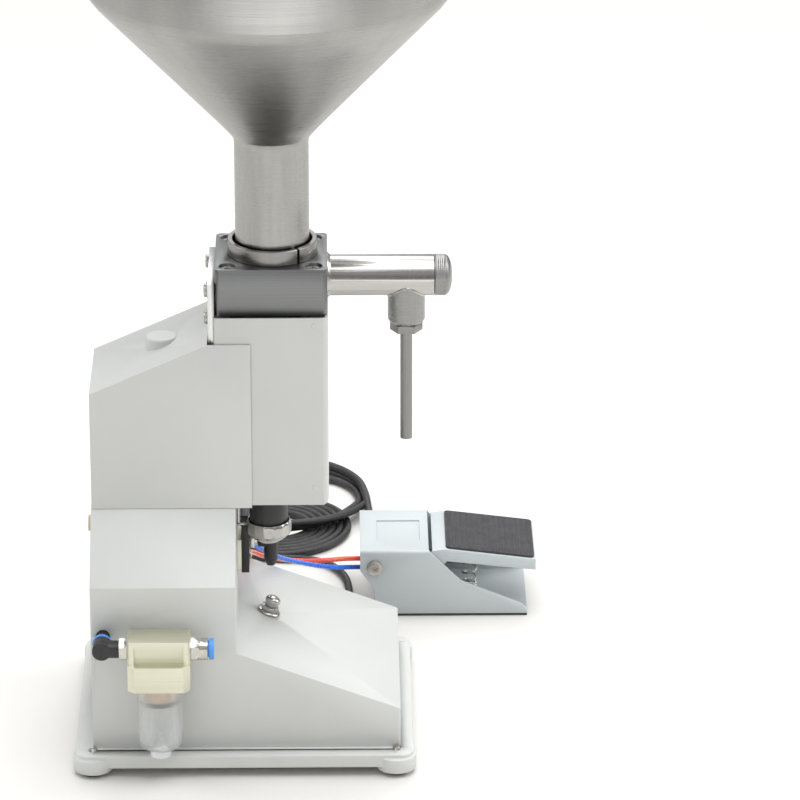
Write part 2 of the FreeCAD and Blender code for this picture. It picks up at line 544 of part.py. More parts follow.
# ---------------------------------------------------------------- pump and air cylinder
def make_cylinders():
    spot = ("D.pump_x", 0)
    head_top = "D.lowhead_z + D.head_thick"
    barrel_top = head_top + " + D.barrel_tall"
    liner = pipe("D.pump_rad + D.liner_wall", "D.pump_rad", "D.liner_top - (%s) - D.head_thick" % barrel_top,
                 spot + (barrel_top + " + D.head_thick",))
    barrel = pipe("D.air_rad + D.air_wall", "D.air_rad", "D.barrel_tall", spot + (head_top,))
    keep("cylinder_barrels", group(liner, barrel))
    heads = []
    corner = "D.pump_x - D.head_side / 2"
    tie_spots = [(x, y) for x in (-26, 26) for y in (-26, 26)]
    for level, bore in (("D.lowhead_z", "D.tail_rad"), (barrel_top, "D.rod_rad")):
        plate = brick(("D.head_side", "D.head_side", "D.head_thick"), (corner, "-D.head_side / 2", level))
        plate = rounded(plate, 3.0, along(Vector(0, 0, 1)))
        holes = [rod(2.6, 20, ("D.pump_x + %d" % x, y, level + " - 3")) for x, y in tie_spots]
        side_holes = [rod(3.0, 12, (corner + " - 1", y, level + " + D.head_thick / 2"), "x")
                      for y in (-22, 22)]
        cuts = holes + [rod(bore + " + D.fit_gap", 20, spot + (level + " - 3",))]
        if not heads:
            cuts += side_holes
            cuts += [rod("D.sleeve_rad + 0.05", 10.5, spot + (level + " - 1",))]
            cuts += [rod(2.0, 10, ("D.pump_x", y, level + " - 1")) for y in (-24, 24)]
        heads.append(cut(plate, *cuts))
    keep("cylinder_heads", group(*heads))
    tie_tall = "D.barrel_tall + 2 * D.head_thick - 1"
    ties = []
    for x, y in tie_spots:
        bar = rod(2.5, tie_tall, ("D.pump_x + %d" % x, y, "D.lowhead_z"))
        nut = hexagon(8, 4, ("D.pump_x + %d" % x, y, barrel_top + " + D.head_thick"))
        end = rod(2.5, 5, ("D.pump_x + %d" % x, y, barrel_top + " + D.head_thick - 1.5"))
        ties.append(fuse(bar, nut, end))
    keep("tie_rods", group(*ties))

    air_low = head_top + " + 2"
    piston = rod("D.air_rad - D.fit_gap", 12, spot + (air_low,))
    seal_groove = pipe("D.air_rad + 1", "D.air_rad - 2.2", 3, spot + (air_low + " + 4.5",))
    rod_bore = rod("D.tail_rad", 20, spot + (air_low + " - 3",))
    air_piston = cut(piston, seal_groove, rod_bore)
    air_seal = pipe("D.air_rad - D.fit_gap", "D.air_rad - 2.2", 3, spot + (air_low + " + 4.5",))
    pump_low = barrel_top + " + D.head_thick + 5"
    upper = rod("D.rod_rad", "(%s) - (%s) - 12" % (pump_low, air_low), spot + (air_low + " + 12",))
    tail = rod("D.tail_rad", "12 + (%s) - 173" % air_low, spot + (173,))
    keep("piston_rod", fuse(upper, tail))
    head = rod("D.pump_rad - D.fit_gap", 14, spot + (pump_low,))
    groove = pipe("D.pump_rad + 1", "D.pump_rad - 2", 4, spot + (pump_low + " + 5",))
    keep("pistons", group(air_piston, cut(head, groove)))
    pump_seal = pipe("D.pump_rad - D.fit_gap", "D.pump_rad - 2", 4, spot + (pump_low + " + 5",))
    keep("piston_seals", group(air_seal, pump_seal))


def make_adjuster():
    spot = ("D.pump_x", 0)
    sleeve = rod("D.sleeve_rad", "D.sleeve_top - D.sleeve_low", spot + ("D.sleeve_low",))
    keep("adjuster_sleeve", cut(sleeve, rod("D.tail_rad + 0.6", 60, spot + ("D.sleeve_low + 3",))))
    nut = turned("ring_nut", [
        (0, 0), ("D.sleeve_rad - 7", 0), ("D.sleeve_rad + 1.2", 6.5), ("D.ring_nut_rad", 9.0),
        ("D.ring_nut_rad", 18.5), ("D.sleeve_rad + 0.05", 18.5), ("D.sleeve_rad + 0.05", 10.2), (0, 10.2)],
        spot + ("D.ring_nut_low",))
    keep("adjuster_ring", nut)
    pointer_long = "D.pump_x - D.ring_nut_rad - 0.6 - D.body_front"
    keep("adjuster_pointer", rod(1.0, pointer_long, ("D.body_front", 0, "D.ring_nut_low + 14"), "x"))


# ---------------------------------------------------------------- control valve
VALVE_PORTS = [(-23.0, 132.0), (-23.0, 122.6)]


def make_control_valve():
    low_y = "D.valve_y - D.valve_wide / 2"
    block = brick((52, "D.valve_wide", "D.valve_top - D.valve_low"),
                  ("D.body_front - 49", low_y, "D.valve_low"))
    spool_bore = rod(5.0, 70, ("D.body_front - 60", "D.valve_y", "D.valve_low + 12.5"), "x")
    keep("control_valve_body", cut(block, spool_bore))
    spool = rod("5 - D.fit_gap", 40, ("D.body_front - 42", "D.valve_y", "D.valve_low + 12.5"), "x")
    grooves = [pipe(6, 3, 6, ("D.body_front - %d" % x, "D.valve_y", "D.valve_low + 12.5"), "x")
               for x in (36, 24, 12)]
    keep("control_valve_spool", cut(spool, *grooves))
    front_cap = brick((6, "D.valve_wide - 4", 49), ("D.body_front + 3", low_y + " + 2", "D.valve_low - 4.5"))
    front_cap = rounded(front_cap, 1.2, along(Vector(1, 0, 0)))
    end_cap = brick((6, "D.valve_wide - 2", 24), ("D.body_front - 55", low_y + " + 1", "D.valve_low + 0.5"))
    keep("control_valve_caps", group(front_cap, end_cap))
    fitting_spot = ("D.body_front + 9", "D.valve_y + 2", "D.valve_low + 18")
    nipple = fuse(rod(4.0, 7, fitting_spot, "x"), hexagon(12, 4, fitting_spot, "x"))
    elbow_spot = ("D.body_front + 16", "D.valve_y + 2", "D.valve_low + 18")
    arm = rod(5.5, 12, elbow_spot, "x")
    leg = rod(5.5, 20, ("D.body_front + 26", "D.valve_y + 2", "D.valve_low + 22"), "-z")
    tip = cone(5.5, 3.4, 5, ("D.body_front + 26", "D.valve_y + 2", "D.valve_low + 2"), "-z")
    keep("valve_elbow", fuse(arm, leg, tip))
    ports = [nipple]
    for x, z in VALVE_PORTS:
        ports.append(pipe(3.9, "D.tube_dia / 2", 5, (x, "D.valve_y + D.valve_wide / 2 - 2", z), "y"))
    keep("valve_fittings", group(*ports))


# ---------------------------------------------------------------- air filter
def make_filter():
    x, y, mid = "D.filter_x", "D.filter_y", "D.port_level"
    head = brick(("D.head_wide", "D.head_deep", "D.head_top - D.head_low"),
                 (x + " - D.head_wide / 2", y + " - D.head_front", "D.head_low"))
    head = rounded(head, 2.0, along(Vector(0, 0, 1)))
    window = brick(("D.head_wide - 10", "D.window_deep + 1", "D.head_top - D.head_low - 5.5"),
                   (x + " - D.head_wide / 2 + 5", y + " - D.head_front - 1", "D.head_low + 1"))
    collar = brick(("D.head_wide", "D.collar_deep", "D.head_low - D.collar_low + 1"),
                   (x + " - D.head_wide / 2", y + " - D.collar_front", "D.collar_low"))
    collar = chamfered(collar, "D.collar_corner", along(Vector(0, 0, 1)))
    well = rod("D.bowl_rad + 0.06", "D.head_low - D.collar_low - 2", (x, y, "D.collar_low - 1"))
    sockets = [rod(5.0, 7.5, (x + " - D.head_wide / 2 - 1", y, mid), "x"),
               rod(5.0, 7.5, (x + " + D.head_wide / 2 - 6.5", y, mid), "x")]
    channel = rod(3.0, "D.head_wide", (x + " - D.head_wide / 2", y, mid), "x")
    passage = rod(4.5, 16, (x, y, "D.collar_low + 10"))
    bracket_deep = "-D.filter_y - D.body_wide / 2 - D.head_deep + D.head_front"
    bracket = brick((30, bracket_deep, 10),
                    (x + " - 15", y + " + D.head_deep - D.head_front", "D.head_low + 2"))
    keep("filter_head", cut(fuse(head, collar, bracket), window, well, channel, passage, *sockets))
    bowl = turned("bowl", [
        (0, 0), ("D.bowl_rad - 7", 0), ("D.bowl_rad - 2.2", 2.6), ("D.bowl_rad", 8),
        ("D.bowl_rad", "D.collar_low + 13 - D.bowl_low"),
        ("D.bowl_rad - D.bowl_wall", "D.collar_low + 13 - D.bowl_low"), ("D.bowl_rad - D.bowl_wall", 8),
        ("D.bowl_rad - 2.2 - D.bowl_wall", 4.6), ("D.bowl_rad - 9", "D.bowl_wall"), (0, "D.bowl_wall")],
        (x, y, "D.bowl_low"))
    keep("filter_bowl", cut(bowl, rod(3.6, 10, (x, y, "D.bowl_low - 2"))))
    keep("filter_element", pipe(12.6, 8.5, 16, (x, y, "D.collar_low - 12")))
    skirt = cone(14.2, 8, 3, (x, y, "D.collar_low - 15.2"))
    spindle = rod(2.0, 22, (x, y, "D.collar_low - 12.5"))
    disc = rod(13.2, 1.2, (x, y, "D.collar_low + 4.2"))
    keep("filter_baffle", fuse(skirt, spindle, disc))
    stem = rod("3.6 - D.fit_gap", 5, (x, y, "D.bowl_low - 1"))
    knob = rod(8.0, 5.6, (x, y, "D.bowl_low - 6.4"))
    keep("drain_knob", cut(fuse(knob, stem), rod(1.6, 20, (x, y, "D.bowl_low - 8"))))
    left, right = x + " - D.head_wide / 2", x + " + D.head_wide / 2"
    thread = rod(4.95, 6, (left + " - 0.2", y, mid), "x")
    nipple = cut(fuse(hexagon(16, 6.5, (left + " - 6.5", y, mid), "x"), thread),
                 rod(2.5, 20, (left + " - 7", y, mid), "x"))
    arm = rod(6.8, 13, (left + " - 19.5", y, mid), "x")
    shank = rod(7.2, 13, ("D.elbow_x", y + " - 5.5", mid), "y")
    ring_well = rod(5.7, 4, ("D.elbow_x", y + " + 5", mid), "y")
    link = rod("D.link_rad", 24, ("D.elbow_x", y + " + 1", mid), "y")
    keep("outlet_elbow", fuse(cut(fuse(arm, shank), ring_well), link))
    lip = pipe(7.6, "D.link_rad + 0.1", 2.6, ("D.elbow_x", y + " + 8.7", mid), "y")
    neck = pipe(5.6, "D.link_rad + 0.1", 2.8, ("D.elbow_x", y + " + 6.2", mid), "y")
    keep("elbow_release_ring", fuse(neck, lip))
    inlet = fuse(hexagon(17, 7, (right, y, mid), "x"), rod(8.6, 7, (right + " + 6.4", y, mid), "x"),
                 rod(4.95, 6, (right + " - 5.8", y, mid), "x"))
    inlet = cut(inlet, rod("D.inlet_rad", 20, (right + " + 1", y, mid), "x"),
                rod(2.5, 10, (right + " - 7", y, mid), "x"), rod(6.55, 4, (right + " + 9.6", y, mid), "x"))
    keep("filter_fittings", group(nipple, inlet))
    flange = pipe(8.3, 4.5, 3.6, (right + " + 14.6", y, mid), "x")
    collet = pipe(6.5, 4.5, 4.6, (right + " + 11", y, mid), "x")
    keep("inlet_release_ring", fuse(flange, collet))


# ---------------------------------------------------------------- rear fittings
def hose_fitting(neck_long, at, frame):
    """A push-in hose fitting on a wall that faces +Y; its mouth stands 14 mm off the wall."""
    x, y, z = at
    neck = rod("D.neck_rad", neck_long, (x, "%s + 3 - %s" % (y, neck_long), z), "y", frame)
    nut = hexagon(14, 6, (x, y + " + 0.05", z), "y", frame)
    mouth = rod(6.2, 8, (x, y + " + 6", z), "y", frame)
    return fuse(neck, nut, mouth)


def make_rear_fittings():
    stub = fuse(rod(6.4, 6, ("D.body_back - 4.5", 0, 168), "x"),
                rod(7.6, 1.6, ("D.body_back - 1.65", 0, 168), "x"))
    plug = fuse(rod(4.9, 6, ("D.body_back - 3.5", 0, 141), "x"),
                rod(5.8, 1.4, ("D.body_back - 1.45", 0, 141), "x"))
    keep("rear_fittings", group(stub, plug))
    gland = hose_fitting(8, (52, "D.body_wide / 2", 36), MACHINE)
    supply = hose_fitting(24, (32, "D.pedal_wide", 18), PEDAL)
    keep("hose_fittings", group(gland, supply))


# ---------------------------------------------------------------- foot pedal
def make_pedal():
    wide, wall = "D.pedal_wide", "D.pedal_wall"
    profile = [("12.4", "D.pad_thick"), ("12.4", 14.5), ("11.6", 23.7), ("0", 41), ("0", "D.pedal_top"),
               (57.5, "D.pedal_top"), (58, 57), (74, 41), (83.5, 31.5), (134.7, 10), (139, 5),
               (139, "D.pad_thick")]
    housing = side_pad("housing", profile, wide, PEDAL, (0, wide + " / 2", 0))
    housing = rounded(housing, 2.5, lambda e: along(Vector(1, 0, 0), 40)(e) and e.CenterOfMass.z > 58)
    hollow = side_pad("hollow", [(-5, "D.pad_thick + 3"), (-5, "D.pedal_top - 3"), (57, "D.pedal_top - 3"),
                                 (57, 80), (150, 80), (150, "D.pad_thick + 3")], wide + " - 2 * " + wall,
                      PEDAL, (0, wide + " / 2", 0))
    label = brick((36, 42, 2), (14, 23.5, "D.pedal_top - 1.2"), PEDAL)
    pins = rod(4.0, 100, ("D.pivot_u", -5, "D.pivot_w"), "y", PEDAL)
    supply = rod("D.neck_rad + 0.1", 10, (32, wide + " - 5", 18), "y", PEDAL)
    keep("pedal_housing", cut(housing, hollow, label, pins, supply))
    keep("pedal_sole", brick((126.6, wide, "D.pad_thick"), (12.4, 0, 0), PEDAL))

    arm_side = [("D.pivot_u - 7", 37), ("D.pivot_u - 7", 50), (56, 51), (60, 57), (70, "D.pedal_top"),
                ("D.treadle_end", 49), ("D.treadle_end", 39.5), (72, 47.5), (62, 37)]
    outer = side_pad("treadle_outer", arm_side, wide + " - 2 * %s - 1.2" % wall, PEDAL,
                     (0, wide + " / 2", 0))
    inner = side_pad("treadle_inner", [
        ("-20", 20), ("-20", 60), (57.6, 60), (60.8, 54.8), (70, 56.3), ("D.treadle_end - 2", 47.1),
        ("D.treadle_end - 2", 20)], wide + " - 2 * %s - 6.2" % wall, PEDAL, (0, wide + " / 2", 0))
    bar = brick((9, wide + " - 2 * %s - 4" % wall, 5), (45.5, wall + " + 2", 38.5), PEDAL)
    bores = rod(4.06, 100, ("D.pivot_u", -5, "D.pivot_w"), "y", PEDAL)
    keep("treadle", cut(fuse(cut(outer, inner), bar), bores))

    tilt = math.degrees(math.atan2(size("pedal_top") - 49, size("treadle_end") - 70))
    keep("treadle_pad", primitive("Box", {"Length": 74, "Width": wide + " - 12", "Height": 2.6},
                                  (71.2, 6, "D.pedal_top - 0.1"), frame=PEDAL,
                                  turn=Rotation(Vector(0, 1, 0), tilt)))

    pins = []
    for v, aim in ((-1.6, "y"), ("%s + 1.6" % wide, "-y")):
        pin = fuse(rod(6.4, 1.5, ("D.pivot_u", v, "D.pivot_w"), aim, PEDAL),
                   rod(4.0, 10, ("D.pivot_u", v, "D.pivot_w"), aim, PEDAL))
        slot = hexagon(4, 1.2, ("D.pivot_u", v, "D.pivot_w"), aim, PEDAL)
        pins.append(cut(pin, slot))
    keep("pivot_screws", group(*pins))

    low = "D.pad_thick + 3"
    valve = brick((38, 34, 25), (17, 27, low), PEDAL)
    bore = rod(4.0, 40, (50, 44, low + " + 4"), "z", PEDAL)
    keep("foot_valve_body", cut(valve, bore))
    keep("foot_valve_plunger", rod("4 - D.fit_gap", 22.4, (50, 44, 15.2), "z", PEDAL))
    keep("treadle_spring", pipe(7.0, 5.4, "52.4 - (%s)" % low, (92, 44, low), "z", PEDAL))
    manifold = brick((16, 23, 22), (24, 8.5, 30.1), PEDAL)
    collars = [pipe(5.0, "D.tube_dia / 2", 8, (16, v, w), "x", PEDAL) for v, w in PEDAL_PORTS]
    keep("pedal_ports", fuse(manifold, *collars))


PEDAL_PORTS = [(14.5, 45.5), (24.0, 34.0)]


# ---------------------------------------------------------------- tubes and hose
def bent_tube(node, route, diameter):
    """A tube along straight runs joined by tangent arcs, each as large as its two runs allow."""
    points = [Vector(*p) for p in route]
    edges, radii = [], []
    here = points[0]
    for before, corner, after in zip(points, points[1:], points[2:]):
        a, b = before - corner, after - corner
        shorter = min(a.Length, b.Length)
        a.normalize()
        b.normalize()
        turn = math.pi - math.acos(max(-1.0, min(1.0, a.dot(b))))
        radius = 0.45 * shorter / math.tan(turn / 2)
        radii.append(radius)
        reach = 0.45 * shorter
        start, end = corner + a * reach, corner + b * reach
        middle = corner + (a + b).normalize() * (radius / math.cos(turn / 2) - radius)
        edges.append(Part.LineSegment(here, start).toShape())
        edges.append(Part.Arc(start, middle, end).toShape())
        here = end
    edges.append(Part.LineSegment(here, points[-1]).toShape())
    path = Part.Wire(edges)
    section = Part.Wire(Part.Circle(points[0], points[1] - points[0], diameter / 2).toShape())
    shape = path.makePipeShell([section], True, False)
    ideal = math.pi * diameter ** 2 / 4 * path.Length
    print("%s: length %.0f, volume ratio %.4f, radii %s" % (
        node, path.Length, shape.Volume / ideal, " ".join("%.0f" % r for r in radii)))
    obj = doc.addObject("Part::Feature", node)
    obj.Shape = shape
    put(obj, (0, 0, 0))
    keep(node, obj)


PORT_FACE = size("valve_y") + size("valve_wide") / 2 + 1
FAR_WALL = size("body_wide") / 2
PEDAL_REAR = size("pedal_x") + 18

BLUE_ROUTE = [
    (-23.0, PORT_FACE, 132), (-22, 56, 126.5), (-12, 77, 111), (2, 102, 92), (16, 130, 76), (30, 157, 61),
    (46, 184, 47), (63, 205, 38), (PEDAL_REAR, size("pedal_y") + 24.0, 34)]
RED_ROUTE = [
    (-23.0, PORT_FACE, 122.6), (-23.6, 60, 115.5), (-23.4, 80, 107), (-20.5, 101, 98.5), (-12, 122, 85),
    (3, 142, 73), (20, 162, 62.5), (39, 185, 53), (60, 200, 48.5),
    (PEDAL_REAR, size("pedal_y") + 14.5, 45.5)]
TAIL_ROUTE = [
    (52, FAR_WALL + 14, 36), (52.5, 126, 34.5), (54, 148, 24), (56, 172, 10.5), (58, 202, 4.2),
    (59, 234, 3.5), (55.5, 266, 3.4), (42, 291, 3.4), (21, 301, 3.4), (-2, 302, 3.4)]
PEDAL_RUN = [
    (74, 426, 9.9), (75.5, 398, 8.6), (80, 368, 4.6), (90, 338, 5.6), (98, 312, 13.5),
    (99.6, size("pedal_y") + size("pedal_wide") + 14, 18)]


def make_hoses():
    bent_tube("blue_tube", BLUE_ROUTE, size("tube_dia"))
    bent_tube("red_tube", RED_ROUTE, size("tube_dia"))
    bent_tube("hose_tail", TAIL_ROUTE, size("hose_dia"))
    bent_tube("hose_pedal_run", PEDAL_RUN, size("hose_dia"))
    bundle = pipe("D.bundle_out", "D.bundle_in", "D.bundle_tall", ("D.bundle_x", "D.bundle_y", 0))
    loop = pipe("D.loop_out", "D.loop_in", "D.loop_tall", ("D.loop_x", "D.loop_y", 0))
    keep("hose_coil", fuse(bundle, loop))


# ---------------------------------------------------------------- build, check, write
make_base()
make_body()
make_stud()
keep("steel_screws", group(*(make_column() + make_block())))
make_rear_cover()
make_split_ring()
make_hopper()
make_outlet()
make_inlet()
make_cylinders()
make_adjuster()
make_control_valve()
make_filter()
make_rear_fittings()
make_pedal()
make_hoses()
doc.recompute()

for obj in doc.Objects:
    bad = [word for word in obj.State if word in ("Invalid", "Error")]
    if bad:
        raise RuntimeError("%s (%s) failed: %s" % (obj.Name, obj.Label, bad))
CORDS = ("blue_tube", "red_tube", "hose_tail", "hose_coil", "hose_pedal_run")
box = FreeCAD.BoundBox()
for node, obj in parts.items():
    shape = obj.Shape
    if shape.isNull() or not shape.isValid() or not shape.Solids:
        raise RuntimeError("%s has no valid solid" % node)
    if node not in CORDS:
        box.add(shape.optimalBoundingBox(False))
for node, obj in parts.items():
    obj.Shape.exportStep("parts/%s.step" % node)
print("%d nodes" % len(parts))
print("footprint centre %.2f, %.2f, lowest %.2f" % (box.Center.x, box.Center.y, box.ZMin))
print("size %.1f x %.1f x %.1f" % (box.XLength, box.YLength, box.ZLength))
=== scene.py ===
"""Desktop pneumatic piston filler: cords, detailed pieces, finishes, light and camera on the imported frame.

Metres, +Z up, +X from the rear of the machine towards its nozzle. Sizes written in millimetres are in the
machine's own coordinates, measured from the hopper's axis and the table.
"""
import json
import math
import bmesh
import bpy
from mathutils import Matrix, Vector


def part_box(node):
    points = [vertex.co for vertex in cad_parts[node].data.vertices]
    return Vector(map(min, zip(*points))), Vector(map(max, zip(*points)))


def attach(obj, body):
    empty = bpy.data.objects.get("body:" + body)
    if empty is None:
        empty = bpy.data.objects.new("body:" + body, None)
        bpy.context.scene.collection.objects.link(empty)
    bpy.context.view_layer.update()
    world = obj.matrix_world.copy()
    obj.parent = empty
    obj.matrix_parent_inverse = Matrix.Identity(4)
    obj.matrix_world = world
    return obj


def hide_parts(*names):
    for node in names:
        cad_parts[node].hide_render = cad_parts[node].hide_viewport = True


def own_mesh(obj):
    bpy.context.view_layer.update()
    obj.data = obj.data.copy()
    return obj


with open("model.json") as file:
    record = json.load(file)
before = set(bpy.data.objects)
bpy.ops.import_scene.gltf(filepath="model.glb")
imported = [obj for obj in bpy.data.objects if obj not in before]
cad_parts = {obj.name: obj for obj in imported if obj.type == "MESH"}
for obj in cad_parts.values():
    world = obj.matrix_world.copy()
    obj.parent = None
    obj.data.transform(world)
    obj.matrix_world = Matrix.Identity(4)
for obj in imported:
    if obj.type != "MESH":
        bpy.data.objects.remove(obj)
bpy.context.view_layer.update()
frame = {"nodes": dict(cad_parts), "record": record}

MM = 0.001
HAIR = 0.001  # how near its axis a turned outline comes, in millimetres
hopper_low, hopper_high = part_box("hopper")
AXIS = Vector(((hopper_low.x + hopper_high.x) / 2, (hopper_low.y + hopper_high.y) / 2, 0))
MACHINE = "machine"


def at(x, y, z):
    """A point in millimetres from the hopper's axis and the table, as metres in the shared frame."""
    return AXIS + Vector((x, y, z)) * MM


# ---------------------------------------------------------------- camera
CAMERA_LENS, CAMERA_SENSOR = 225.0, 36.0
CAMERA_AWAY = 3.89166
CAMERA_CLIP = (0.1, 50.0)
CAMERA_PITCH = math.radians(22.0)
CAMERA_YAW = math.radians(0.76)
CAMERA_TARGET = at(98.15, 0, 270.78)


def make_camera():
    """A long lens, looking slightly down at the machine's near side."""
    ahead = Vector((math.sin(CAMERA_YAW) * math.cos(CAMERA_PITCH),
                    math.cos(CAMERA_YAW) * math.cos(CAMERA_PITCH),
                    -math.sin(CAMERA_PITCH)))
    data = bpy.data.cameras.new("camera")
    data.lens = CAMERA_LENS
    data.sensor_width = CAMERA_SENSOR
    data.clip_start, data.clip_end = CAMERA_CLIP
    camera = bpy.data.objects.new("camera", data)
    camera.location = CAMERA_TARGET - ahead * CAMERA_AWAY
    camera.rotation_euler = ahead.to_track_quat("-Z", "Y").to_euler()
    bpy.context.scene.collection.objects.link(camera)
    bpy.context.scene.camera = camera


# ---------------------------------------------------------------- materials
MIDDLE = (0.3, 0.7)


def shade(colour, factor):
    """A colour made lighter or darker, and opaque."""
    return tuple(min(1.0, channel * factor) for channel in colour[:3]) + (1.0,)


class Finish:
    """A Principled material with procedural colour variation, roughness variation and bump."""

    def __init__(self, name, colour, rough, metallic=0.0):
        self.mat = bpy.data.materials.new(name)
        self.mat.use_nodes = True
        self.tree = self.mat.node_tree
        self.bsdf = self.tree.nodes["Principled BSDF"]
        self.bsdf.inputs["Metallic"].default_value = metallic
        self.colour = colour
        self.rough = rough
        self.normal = None

    def node(self, kind, **values):
        made = self.tree.nodes.new("ShaderNode" + kind)
        for key, value in values.items():
            setattr(made, key, value)
        return made

    def link(self, source, target):
        self.tree.links.new(source, target)

    def math(self, operation, first, second=None):
        """A Math node's output; each operand is a number or another node's output."""
        made = self.node("Math", operation=operation)
        for socket, value in zip(made.inputs, (first, second)):
            if value is None:
                continue
            if isinstance(value, (int, float)):
                socket.default_value = value
            else:
                self.link(value, socket)
        return made.outputs[0]

    def place(self, stretch=(1, 1, 1)):
        """Object coordinates, stretched along each axis."""
        coord = self.node("TexCoord")
        mapping = self.node("Mapping")
        mapping.inputs["Scale"].default_value = stretch
        self.link(coord.outputs["Object"], mapping.inputs["Vector"])
        return mapping.outputs[0]

    def round_place(self, centre, axis, per_turn, per_metre):
        """Coordinates that run round an axis and along it."""
        coord = self.node("TexCoord")
        move = self.node("VectorMath", operation="SUBTRACT")
        move.inputs[1].default_value = centre
        self.link(coord.outputs["Object"], move.inputs[0])
        split = self.node("SeparateXYZ")
        self.link(move.outputs[0], split.inputs[0])
        side, up, way = {"z": ("X", "Y", "Z"), "x": ("Y", "Z", "X")}[axis]
        angle = self.math("ARCTAN2", split.outputs[up], split.outputs[side])
        join = self.node("CombineXYZ")
        self.link(self.math("MULTIPLY", self.math("COSINE", angle), per_turn), join.inputs[0])
        self.link(self.math("MULTIPLY", self.math("SINE", angle), per_turn), join.inputs[1])
        self.link(self.math("MULTIPLY", split.outputs[way], per_metre), join.inputs[2])
        return join.outputs[0]

    def noise(self, place, scale, detail=3.0, rough=0.5):
        made = self.node("TexNoise")
        made.inputs["Scale"].default_value = scale
        made.inputs["Detail"].default_value = detail
        made.inputs["Roughness"].default_value = rough
        self.link(place, made.inputs["Vector"])
        return made.outputs[0]

    def paint_between(self, factor, start, end, span=MIDDLE):
        """Base colour between two tones of the finish's own colour, picked by a factor."""
        ramp = self.node("ValToRGB")
        for element, position, tone in zip(ramp.color_ramp.elements, span, (start, end)):
            element.position = position
            element.color = shade(self.colour, tone)
        self.link(factor, ramp.inputs[0])
        self.link(ramp.outputs[0], self.bsdf.inputs["Base Color"])
        return self

    def rough_between(self, factor, spread):
        """Roughness that a factor moves by up to the spread, down and up."""
        reach = self.node("MapRange")
        reach.inputs["From Min"].default_value, reach.inputs["From Max"].default_value = MIDDLE
        reach.inputs["To Min"].default_value = max(0.02, self.rough - spread)
        reach.inputs["To Max"].default_value = min(1.0, self.rough + spread)
        self.link(factor, reach.inputs["Value"])
        self.link(reach.outputs["Result"], self.bsdf.inputs["Roughness"])
        return self

    def bump(self, height, depth):
        """Bump with a depth in millimetres; a second call adds to the first."""
        made = self.node("Bump")
        made.inputs["Distance"].default_value = depth * MM
        made.inputs["Strength"].default_value = 1.0
        self.link(height, made.inputs["Height"])
        if self.normal is not None:
            self.link(self.normal, made.inputs["Normal"])
        self.normal = made.outputs[0]
        self.link(self.normal, self.bsdf.inputs["Normal"])
        return self

    def set(self, **sockets):
        """Uniform values for sockets of the shader, named with _ for each space."""
        for key, value in sockets.items():
            self.bsdf.inputs[key.replace("_", " ")].default_value = value
        return self


def painted(name, colour, rough=0.38, peel=0.012):
    """Sprayed paint: faint orange peel and broad, weak changes of tone."""
    made = Finish(name, colour, rough)
    made.paint_between(made.noise(made.place(), 9, 4), 0.965, 1.02)
    made.rough_between(made.noise(made.place(), 60, 4), 0.06)
    made.bump(made.noise(made.place(), 900, 2), peel)
    return made.set(Coat_Weight=0.15, Coat_Roughness=0.25).mat


def cast_paint(name, colour):
    """Paint over a sand-cast skin."""
    made = Finish(name, colour, 0.45)
    made.paint_between(made.noise(made.place(), 14, 5), 0.95, 1.03)
    made.rough_between(made.noise(made.place(), 90, 4), 0.08)
    made.bump(made.noise(made.place(), 260, 4), 0.06)
    return made.mat


def ground_metal(name, colour, rough, stretch, depth, tone):
    """Metal ground or brushed along one axis."""
    made = Finish(name, colour, rough, metallic=1.0)
    lines = made.noise(made.place(stretch), 1.0, 5, 0.65)
    made.paint_between(lines, 1 - tone, 1 + tone)
    made.rough_between(lines, 0.08)
    made.bump(lines, depth)
    made.bump(made.noise(made.place(), 35, 3), 0.02)
    return made.mat


def turned_metal(name, colour, rough, centre, axis, streak=0.0, grain=0.7):
    """Metal turned or polished round an axis, with fine rings and, if asked, soft streaks along it."""
    made = Finish(name, colour, rough, metallic=1.0)
    tangent = made.node("Tangent", direction_type="RADIAL", axis=axis.upper())
    made.link(tangent.outputs[0], made.bsdf.inputs["Tangent"])
    made.set(Anisotropic=grain)
    rings = made.noise(made.round_place(centre, axis, 1.5, 3000), 1.0, 4, 0.6)
    clouds = made.noise(made.round_place(centre, axis, 5.0, 14), 1.0, 3)
    made.paint_between(clouds, 0.94, 1.06)
    made.rough_between(rings, 0.07)
    made.bump(rings, 0.004)
    if streak:
        made.bump(made.noise(made.round_place(centre, axis, 6.0, 2.0), 1.0, 2), streak)
    return made.mat


def plated(name, colour, rough):
    """Nickel, zinc or chrome plate over a slightly uneven base."""
    made = Finish(name, colour, rough, metallic=1.0)
    made.paint_between(made.noise(made.place(), 300, 4), 0.88, 1.05)
    made.rough_between(made.noise(made.place(), 700, 3), 0.08)
    made.bump(made.noise(made.place(), 500, 3), 0.01)
    return made.mat


def moulded(name, colour, rough, coat=0.0):
    """Moulded plastic: fine spark-eroded grain."""
    made = Finish(name, colour, rough)
    made.paint_between(made.noise(made.place(), 40, 4), 0.9, 1.1)
    made.rough_between(made.noise(made.place(), 1500, 3), 0.1)
    made.bump(made.noise(made.place(), 2600, 2), 0.015)
    return made.set(Coat_Weight=coat, Coat_Roughness=0.1).mat


def rubbery(name, colour):
    """Moulded rubber: dull, with a dusty unevenness."""
    made = Finish(name, colour, 0.75)
    made.paint_between(made.noise(made.place(), 120, 5), 0.8, 1.25)
    made.rough_between(made.noise(made.place(), 800, 4), 0.1)
    made.bump(made.noise(made.place(), 1800, 4), 0.03)
    return made.mat


def anodised(name, colour):
    """Extruded and anodised aluminium: faint lines along its length."""
    made = Finish(name, colour, 0.42, metallic=1.0)
    lines = made.noise(made.place((6, 1500, 1500)), 1.0, 4)
    made.paint_between(lines, 0.93, 1.04)
    made.rough_between(lines, 0.06)
    made.bump(lines, 0.004)
    return made.mat


